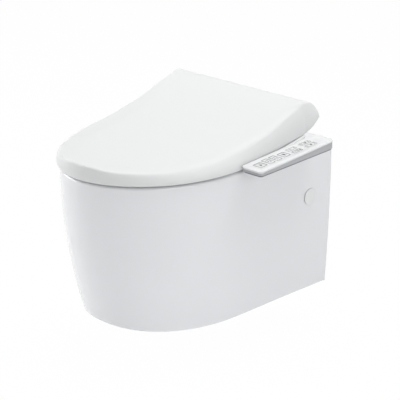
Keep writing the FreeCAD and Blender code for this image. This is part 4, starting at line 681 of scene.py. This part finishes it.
# %% [markdown]
# ## Edges of the moulded and machined pieces
# No real edge is sharp: mouldings leave the tool with a small radius and cut metal is deburred.
# The straight-sided pieces keep the CAD's shape, so each is copied, its doubled points are
# merged, its flat faces are made whole, and then every hard edge gets a round that fits the
# way the piece is made. Drawing them again from nothing would only risk their fits.

# %% Soft copies
FLAT_ANGLE, SOFT_ANGLE, HARD_ANGLE = 0.5, 30, 35


def soft_copy(node_name, width, steps=2, before=None):
    """A copy of a CAD piece with whole faces and rounded edges, ready to stand for it."""
    node = nodes[node_name]
    pick(node)
    bpy.ops.object.duplicate()
    piece = bpy.context.object
    piece.name = f"{node_name}_soft"
    piece.data.name = piece.name
    bpy.ops.object.mode_set(mode="EDIT")
    bpy.ops.mesh.select_all(action="SELECT")
    bpy.ops.mesh.remove_doubles(threshold=SAME_PLACE)
    bpy.ops.mesh.dissolve_limited(angle_limit=math.radians(FLAT_ANGLE))
    bpy.ops.mesh.select_all(action="SELECT")
    bpy.ops.mesh.normals_make_consistent(inside=False)
    bpy.ops.object.mode_set(mode="OBJECT")
    if piece.data.has_custom_normals:
        bpy.ops.mesh.customdata_custom_splitnormals_clear()
    if before:
        before(piece)
    soften(piece, width, steps, SOFT_ANGLE, SOFT_ANGLE)
    return piece


def round_where(piece, chosen, width, steps):
    """Round the hard edges whose two ends both pass a test."""
    pick(piece)
    bpy.ops.object.mode_set(mode="EDIT")
    bpy.ops.mesh.select_all(action="DESELECT")
    shape = bmesh.from_edit_mesh(piece.data)
    found = 0
    for edge in shape.edges:
        if len(edge.link_faces) != 2 or edge.calc_face_angle() < math.radians(HARD_ANGLE):
            continue
        if all(chosen(vert.co) for vert in edge.verts):
            edge.select_set(True)
            found += 1
    bmesh.update_edit_mesh(piece.data)
    bpy.ops.mesh.bevel(offset=width, segments=steps, clamp_overlap=True)
    bpy.ops.object.mode_set(mode="OBJECT")
    print(f"{piece.name}: {found} edges rounded by {width / MM:.1f} mm")


# %% Pieces that keep the CAD's shape
SOFT = (
    ("case_cover", "pan", 0.0024, 3),
    ("case_tray", "pan", 0.0008, 2),
    ("seat_bottom_shell", "seat", 0.0008, 2),
    ("seat_bumpers", "seat", 0.0012, 3),
    ("lid_bumpers", "lid", 0.0012, 3),
    ("nozzle_cover", "wand", 0.0006, 3),
    ("nozzle_head", "wand", 0.0004, 2),
    ("dryer_flap", "flap", 0.0003, 2),
    ("release_button", "release", 0.0006, 3),
    ("wall_bracket_left", "pan", 0.0006, 2),
    ("wall_bracket_right", "pan", 0.0006, 2),
    ("wall_mat", "pan", 0.0008, 2),
    ("deck_nuts", "pan", 0.0006, 2),
    ("deck_plate", "pan", 0.0004, 2),
    ("cord_gland", "pan", 0.0004, 2),
    ("water_inlet", "pan", 0.0004, 2),
)
slot_of = {part["node"]: part["material_slot"] for part in frame["record"]["subparts"]}
for node_name, body, width, steps in SOFT:
    piece = soft_copy(node_name, width, steps)
    dress(piece, body, slot_of[node_name], node_name)

# %% [markdown]
# ## Seat
# The seat is a warm, soft-edged ring: well rounded outside, gently dished on top and rounded
# deeper into the hole, so that no edge presses the legs. The ring is drawn as loops that climb
# the outside, cross the top and go down the hole. Its two arms keep the CAD's shape, because
# they carry the hinge, so they are cut off a soft copy of the CAD's upper shell.

# %% Seat arms
ARM_CUT = -0.2065


def keep_rear(piece):
    """Cut a piece across and keep only what lies behind the seat's ring."""
    pick(piece)
    bpy.ops.object.mode_set(mode="EDIT")
    bpy.ops.mesh.select_all(action="SELECT")
    bpy.ops.mesh.bisect(plane_co=(0, ARM_CUT, 0), plane_no=(0, 1, 0), use_fill=True,
                        clear_inner=True)
    bpy.ops.object.mode_set(mode="OBJECT")


arms = soft_copy("seat_top_shell", 0.0012, 3, keep_rear)
arms.name = arms.data.name = "seat_arms"
dress(arms, "seat", "seat_plastic")

# %% Seat ring: outlines
SEAT_TOP_LINE = ((203.0, 38.0), (253.3, 27.0), (363.6, 20.6), (433.7, 20.0), (560.0, 20.0))
SEAT_REAR, SEAT_OUT, SEAT_LOW = 202.8, 1.0, 11.0
HOLE_MIDDLE, HOLE_LONG, HOLE_WIDE = 361.0, 111.0, 104.0
BRIDGE_HALF, BRIDGE_FRONT, BRIDGE_RISE = 123.0, 257.0, 22.0
PROW_FRONT, SEAT_WALL = 240.0, 2.4
OUTER_ROUND, OUTER_ANGLES = 6.0, (0, 20, 40, 60, 80)
HOLE_ROUND, HOLE_ANGLES, HOLE_SPREAD = 9.0, (75, 60, 45, 30, 15, 0), 1.1
SEAT_DISH, DISH_SHARES, DISH_AT_HOLE = 1.3, (0.16, 0.3, 0.45, 0.6, 0.75), 0.6
REAR_SLACK = 0.7
SEAT_STEPS, SEARCH_STEPS, SEARCH_NEAR, SEARCH_FAR = 200, 40, 50.0, 400.0


def seat_edge(turn):
    """The seat's outer point on a ray from the middle of the hole."""
    across, along = math.cos(turn), math.sin(turn)
    near, far = SEARCH_NEAR, SEARCH_FAR
    for _ in range(SEARCH_STEPS):
        reach = (near + far) / 2
        back = HOLE_MIDDLE + along * reach
        inside = SEAT_REAR < back < RIM_PLAN["reach"] + SEAT_OUT
        if inside and abs(across * reach) < half_width(RIM_PLAN, back, SEAT_OUT):
            near = reach
        else:
            far = reach
    return Vector((across * near, HOLE_MIDDLE + along * near))


corner_width = half_width(RIM_PLAN, SEAT_REAR, SEAT_OUT)
corner_turn = math.atan2(SEAT_REAR - HOLE_MIDDLE, corner_width) % (2 * math.pi)
turns = [2 * math.pi * step / SEAT_STEPS for step in range(SEAT_STEPS)]
for target in (corner_turn, (math.pi - corner_turn) % (2 * math.pi)):
    nearest = min(range(SEAT_STEPS), key=lambda index: abs(turns[index] - target))
    turns[nearest] = target
outers = [seat_edge(turn) for turn in turns]
holes = [Vector((HOLE_WIDE * math.cos(turn), HOLE_MIDDLE + HOLE_LONG * math.sin(turn)))
         for turn in turns]


def seat_ring(offset, drop, from_hole=False):
    """A loop at a distance inside the outer edge, or outside the hole's, below the top."""
    ring = []
    for outer, hole in zip(outers, holes):
        width = (outer - hole).length
        share = 1 - offset / width if from_hole else offset / width
        spot = outer.lerp(hole, share)
        top = hermite(SEAT_TOP_LINE, spot.y)
        ring.append(to_scene(Vector((*spot, top - drop))))
    return ring


def seat_foot(line, raised):
    """A lower loop; the raised points clear the wash unit's prow."""
    return [to_scene(Vector((*spot, BRIDGE_RISE if high else SEAT_LOW)))
            for spot, high in zip(line, raised)]


rear = [outer.y < SEAT_REAR + REAR_SLACK for outer in outers]
over_prow = [outer.y < PROW_FRONT for outer in outers]
at_bridge = [abs(hole.x) < BRIDGE_HALF and hole.y < BRIDGE_FRONT for hole in holes]
wall = [outer.lerp(hole, SEAT_WALL / (outer - hole).length) for outer, hole in zip(outers, holes)]
shelf = []
for outer, hole, over in zip(outers, holes, over_prow):
    spot = outer.lerp(hole, 0.5)
    if over:
        spot = outer.lerp(hole, min((BRIDGE_FRONT - outer.y) / (hole.y - outer.y), 1))
        if abs(spot.x) > BRIDGE_HALF:
            spot = outer.lerp(hole, (PROW_FRONT - outer.y) / (hole.y - outer.y))
    shelf.append(spot)
print(f"{len(outers)} points round the seat, {sum(at_bridge)} of them over the wand")

# %% Seat ring: loops
rings = [seat_foot(outers, rear)]
for angle in OUTER_ANGLES:
    turn = math.radians(angle)
    rings.append(seat_ring(OUTER_ROUND * (1 - math.cos(turn)), OUTER_ROUND * (1 - math.sin(turn))))
for share in DISH_SHARES:
    ring = []
    for outer, hole in zip(outers, holes):
        spot = outer.lerp(hole, share)
        sink = SEAT_DISH * math.sin(math.pi * min(share, 0.9))
        ring.append(to_scene(Vector((*spot, hermite(SEAT_TOP_LINE, spot.y) - sink))))
    rings.append(ring)
for angle in HOLE_ANGLES:
    turn = math.radians(angle)
    drop = SEAT_DISH * DISH_AT_HOLE + (HOLE_ROUND - 1) * (1 - math.sin(turn))
    rings.append(seat_ring(HOLE_ROUND * (1 - math.cos(turn)) * HOLE_SPREAD, drop, True))
rings += [seat_foot(holes, at_bridge), seat_foot(shelf, at_bridge), seat_foot(shelf, over_prow),
          seat_foot(wall, over_prow), seat_foot(wall, rear), rings[0]]
seat = ring_shape("seat_ring", rings, close_start=False, close_end=False)
shade_smooth(seat)
dress(seat, "seat", "seat_plastic", "seat_top_shell")

# %% [markdown]
# ## Side caps
# A round cap covers each concealed side screw. It is a flat mushroom: its rim stands off the
# glaze by about a millimetre, so from the front only a thin dark arc shows on its near side.

# %% Side caps
CAP_PROFILE = ((12.5, -6.8), (12.5, 0.9), (12.9, 1.2), (16.4, 1.2), (16.9, 1.4), (17.0, 1.7),
               (16.7, 1.95), (15.0, 2.15), (11.0, 2.35), (6.0, 2.45), (1.5, 2.5))
CAP_STEPS, CAP_PROUD = 64, 0.0025
for side, word in ((-1, "left"), (1, "right")):
    low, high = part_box(f"side_cap_{word}")
    face = (high.x if side > 0 else low.x) - side * CAP_PROUD
    middle = (low + high) / 2
    rings = []
    for radius, proud in CAP_PROFILE:
        rings.append([Vector((face + side * proud * MM,
                              middle.y + radius * MM * math.cos(2 * math.pi * step / CAP_STEPS),
                              middle.z + radius * MM * math.sin(2 * math.pi * step / CAP_STEPS)))
                      for step in range(CAP_STEPS)])
    cap = ring_shape(f"side_cap_{word}_dome", rings)
    shade_smooth(cap, 35)
    dress(cap, "pan", "case_plastic", f"side_cap_{word}")

# %% [markdown]
# ## Side panel
# The panel is a white plate with a thin white skirt, over a light grey side with a sole under it whose dark grey
# is painted shade.
# The plate keeps the CAD's key openings and gets a generous round on its outer top edge. Skirt,
# side and sole are drawn as rings, outside up and inside down. Side and sole grow deeper towards
# the wall, as in the photo. A small fairing closes the gap between panel and casing.

# %% Panel: place and outline
PANEL_ORIGIN = Vector((0.194, -0.296, RIM + 0.0165))
PANEL_TURN = Matrix.Rotation(math.radians(3.56), 3, "X")
PANEL_WIDE, PANEL_LONG = 54.0, 222.4
PANEL_CORNER, LEAST_CORNER, CORNER_STEPS = 10.0, 1.5, 8


def panel_spot(across, along, up):
    """A point of the panel, in mm from its inner front corner, in the scene."""
    return PANEL_ORIGIN + PANEL_TURN @ (Vector((across, along, up)) * MM)


def round_rectangle(low, high, corner, steps=CORNER_STEPS):
    """Points round a rectangle with round corners, as (across, along)."""
    points = []
    middles = ((high[0] - corner, high[1] - corner, 0), (low[0] + corner, high[1] - corner, 90),
               (low[0] + corner, low[1] + corner, 180), (high[0] - corner, low[1] + corner, 270))
    for across, along, start in middles:
        for step in range(steps + 1):
            turn = math.radians(start + 90 * step / steps)
            points.append((across + corner * math.cos(turn), along + corner * math.sin(turn)))
    return points


def panel_ring(inset, up):
    """The panel's outline, inset by a distance, at a height under or over its top."""
    outline = round_rectangle((inset, inset), (PANEL_WIDE - inset, PANEL_LONG - inset),
                              max(PANEL_CORNER - inset, LEAST_CORNER))
    return [panel_spot(across, along, up) for across, along in outline]


# %% Panel: plate
RIM_NEAR, RIM_UP = 6.0, -0.3
KEYS_ACROSS, KEYS_ALONG = (6.0, 47.0), (12.0, 210.0)


def plate_rim(piece):
    """Round the plate's outer top edge and leave the key openings as they are."""
    back_turn = PANEL_TURN.inverted()

    def on_rim(spot):
        across, along, up = (back_turn @ (spot - PANEL_ORIGIN)) / MM
        near = min(across, along, PANEL_WIDE - across, PANEL_LONG - along)
        at_keys = (KEYS_ACROSS[0] < across < KEYS_ACROSS[1]
                   and KEYS_ALONG[0] < along < KEYS_ALONG[1])
        return up > RIM_UP and near < RIM_NEAR and not at_keys

    round_where(piece, on_rim, 0.0012, 4)


plate = soft_copy("panel_plate", 0.00025, 2, plate_rim)
dress(plate, "pan", "panel_white", "panel_plate")

# %% Panel: skirt, side and sole
SKIRT = ((1.7, -4.9), (1.2, -4.6), (0.15, -2.6), (0.35, -2.3), (1.9, -2.3), (2.2, -4.9))
TRAY = ((2.4, -9.8), (1.2, -9.6), (1.0, -5.4), (1.1, -5.0), (2.2, -5.0))
SOLE = ((6.4, -14.0), (4.6, -13.8), (3.2, -12.6), (1.9, -9.8), (2.3, -9.0), (4.4, -11.0),
        (6.8, -11.6))
DEEPEN, DEEPEN_FROM = 0.036, 20.0
DEEPEN_UNDER, DEEPEN_FADE = 5.0, 4.0


def panel_shell(name, table, slot, closed=True):
    """A shell of the panel from (inset, up) pairs; its side grows deeper towards the wall."""
    rings = []
    for inset, up in table:
        ring = []
        for spot in panel_ring(inset, up):
            along = (PANEL_TURN.inverted() @ (spot - PANEL_ORIGIN)).y / MM
            depth = min(max(-(up + DEEPEN_UNDER) / DEEPEN_FADE, 0), 1)
            sink = DEEPEN * (along - DEEPEN_FROM) * depth
            ring.append(spot - PANEL_TURN @ Vector((0, 0, sink * MM)))
        rings.append(ring)
    if not closed:
        rings.append(rings[0])
    piece = ring_shape(name, rings, close_start=closed, close_end=closed)
    shade_smooth(piece)
    dress(piece, "pan", slot)
    return piece


panel_shell("panel_skirt", SKIRT, "panel_white", closed=False)
tray = panel_shell("panel_tray", TRAY, "panel_grey", closed=False)
sole = panel_shell("panel_sole", SOLE, "panel_grey")
# The sole's dark grey is painted shade, the shadow under the panel.
paint(sole, "sole_painted_shade")
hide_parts("panel_body")

# %% Panel: fairing
ARM_REAR, ARM_FRONT = 100.0, 186.0
ARM_INNER, ARM_OUTER = 183.2, 193.8
ARM_LOW, ARM_UNDER_LID = 12.6, 1.0
bpy.ops.mesh.primitive_cube_add(size=1.0)
arm = bpy.context.object
arm.name = "panel_arm"
bpy.ops.object.mode_set(mode="EDIT")
shape = bmesh.from_edit_mesh(arm.data)
for corner in shape.verts:
    along = ARM_REAR if corner.co.y > 0 else ARM_FRONT
    across = ARM_INNER if corner.co.x < 0 else ARM_OUTER
    rise = ARM_LOW if corner.co.z < 0 else edge_rise(along) - ARM_UNDER_LID
    corner.co = to_scene(Vector((across, along, rise)))
bmesh.update_edit_mesh(arm.data)
bpy.ops.object.mode_set(mode="OBJECT")
soften(arm, 0.0012, 3, 60, 35)
dress(arm, "pan", "case_plastic")

# %% [markdown]
# ## Keys and their prints
# Each key is a flat cap with a fine round on its rim. A thin dark grey line is drawn just inside
# the rim of each key, and small plain signs say what it does. Each line and sign is a raised shape
# about a tenth of a millimetre high on its cap, and it moves with its key. The signs are generic
# ones: dots, drops, arrows and bars, with no letters.

# %% Print inks
FINISHES["ink_grey"] = finish("ink_grey", (0.06, 0.065, 0.07), 0.5, 900, 0.00001, 0.05)
FINISHES["ink_red"] = finish("ink_red", (0.36, 0.012, 0.02), 0.5, 900, 0.00001, 0.05)
FINISHES["ink_green"] = finish("ink_green", (0.10, 0.42, 0.26), 0.5, 900, 0.00001, 0.05)
PRINT_UP, PRINT_UNDER = 0.42, 0.38
PRINT_THICK, CROSS_THICK = 0.09, 0.12
FRAME_STEPS, FRAME_LEAST_CORNER = 4, 0.3
SIGN_STEPS, BAR_STEPS = 20, 2
DROP_POINT, DROP_POWER = 0.9, 6


def dress_print(piece, key, ink):
    """Give a print its ink and let it move with its key."""
    paint(piece, ink)
    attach(piece, key)


def printed(name, outline, key, ink, thick=PRINT_THICK):
    """A thin print from a closed outline in panel millimetres, riding on a key."""
    rings = [[panel_spot(x, y, PRINT_UNDER) for x, y in outline],
             [panel_spot(x, y, PRINT_UP + thick) for x, y in outline]]
    dress_print(ring_shape(name, rings), key, ink)


def key_edge_line(name, low, high, corner, line, key):
    """A rounded grey frame of a given line width."""
    outer = round_rectangle(low, high, corner, FRAME_STEPS)
    inner = round_rectangle((low[0] + line, low[1] + line), (high[0] - line, high[1] - line),
                            max(corner - line, FRAME_LEAST_CORNER), FRAME_STEPS)
    rings = []
    for line_points, up in ((outer, PRINT_UNDER), (outer, PRINT_UP + PRINT_THICK),
                            (inner, PRINT_UP + PRINT_THICK), (inner, PRINT_UNDER),
                            (outer, PRINT_UNDER)):
        rings.append([panel_spot(x, y, up) for x, y in line_points])
    dress_print(ring_shape(name, rings, close_start=False, close_end=False), key, "ink_grey")


# %% Sign shapes
def disc(middle, radius):
    """A round dot."""
    turns = [2 * math.pi * step / SIGN_STEPS for step in range(SIGN_STEPS)]
    return [(middle[0] + radius * math.cos(turn), middle[1] + radius * math.sin(turn))
            for turn in turns]


def drop(middle, radius, point):
    """A water drop; point is +1 or -1 along the panel."""
    outline = []
    for step in range(SIGN_STEPS):
        turn = 2 * math.pi * step / SIGN_STEPS
        reach = radius * (1 + DROP_POINT * max(math.cos(turn), 0) ** DROP_POWER)
        outline.append((middle[0] + reach * math.sin(turn) * point,
                        middle[1] + reach * math.cos(turn) * point))
    return outline


def bar_outline(middle, wide, long, corner=0.4):
    """A bar with round corners."""
    return round_rectangle((middle[0] - wide / 2, middle[1] - long / 2),
                           (middle[0] + wide / 2, middle[1] + long / 2), corner, BAR_STEPS)


def arrow(middle, size, point):
    """A broad arrow head; point is +1 or -1 along the panel."""
    x, y = middle
    return [(x + u * size, y + v * size * point) for u, v in
            ((0.0, 1.0), (-0.5, 0.25), (-1.0, -0.5), (-0.35, -0.5), (-0.35, -1.2), (0.35, -1.2),
             (0.35, -0.5), (1.0, -0.5), (0.5, 0.25))]


# %% Keys
FRAME_INSET, FRAME_CORNER = 0.9, 2.4
BIG_KEY, BIG_FRAME, SMALL_FRAME = 20, 1.3, 0.85
KEY_SPOTS = {
    "stop_key": (28.0, 27.0, 22.0, 24.0), "rear_wash_key": (53.0, 26.0, 17.0, 28.0),
    "front_wash_key": (74.0, 26.0, 17.0, 28.0), "dryer_key": (98.0, 27.0, 20.0, 24.0),
    "pressure_down_key": (130.0, 18.5, 26.0, 13.0), "pressure_up_key": (130.0, 34.5, 26.0, 13.0),
    "position_back_key": (172.0, 18.5, 30.0, 13.0),
    "position_front_key": (172.0, 34.5, 30.0, 13.0),
}
for key, (along, across, long, wide) in KEY_SPOTS.items():
    cap = soft_copy(key, 0.00022, 2)
    dress(cap, key, "panel_white", key)
    side, end = wide / 2 - FRAME_INSET, long / 2 - FRAME_INSET
    key_edge_line(f"{key}_frame", (across - side, along - end), (across + side, along + end),
                FRAME_CORNER, BIG_FRAME if wide > BIG_KEY else SMALL_FRAME, key)

# %% Signs on the keys
printed("stop_dot", disc((28.5, 28.0), 2.8), "stop_key", "ink_red")
printed("stop_core", disc((28.5, 28.0), 2.0), "stop_key", "ink_grey", CROSS_THICK)
printed("stop_square", bar_outline((22.0, 31.5), 3.2, 3.2, 0.6), "stop_key", "ink_green")
printed("stop_bar", bar_outline((33.5, 24.5), 1.0, 4.6), "stop_key", "ink_grey")
for name, along, point in (("rear_wash", 53.0, 1), ("front_wash", 74.0, -1)):
    key = f"{name}_key"
    printed(f"{name}_seat", bar_outline((21.5, along), 1.1, 9.0), key, "ink_grey")
    for index, spot in enumerate(((27.5, along - 2.6), (27.5, along + 2.6), (32.6, along))):
        printed(f"{name}_drop_{index + 1}", drop(spot, 1.25, point), key, "ink_grey")
printed("dryer_dot", disc((27.0, 98.0), 3.0), "dryer_key", "ink_grey")
for index, offset in enumerate((-4.6, 4.6)):
    printed(f"dryer_wave_{index + 1}", bar_outline((27.0 + offset, 98.0), 0.9, 6.0),
            "dryer_key", "ink_grey")
for name, across, count_bars in (("pressure_down", 18.5, 2), ("pressure_up", 34.5, 3)):
    key = f"{name}_key"
    for index in range(count_bars):
        printed(f"{name}_bar_{index + 1}",
                bar_outline((across, 124.0 + 4.2 * index), 3.0 + 1.8 * index, 1.3), key, "ink_grey")
    printed(f"{name}_sign", bar_outline((across, 138.4), 5.4, 1.2), key, "ink_grey")
    if name == "pressure_up":
        printed(f"{name}_cross", bar_outline((across, 138.4), 1.2, 5.0), key, "ink_grey",
                CROSS_THICK)
for name, across, point in (("position_back", 18.5, 1), ("position_front", 34.5, -1)):
    key = f"{name}_key"
    printed(f"{name}_arrow", arrow((across, 172.0 + point), 3.4, point), key, "ink_grey")
    for index, along in enumerate((162.0, 182.0)):
        printed(f"{name}_bar_{index + 1}", bar_outline((across, along), 6.0, 1.1), key,
                "ink_grey")
print(f"{len(KEY_SPOTS)} keys with their frames and signs")
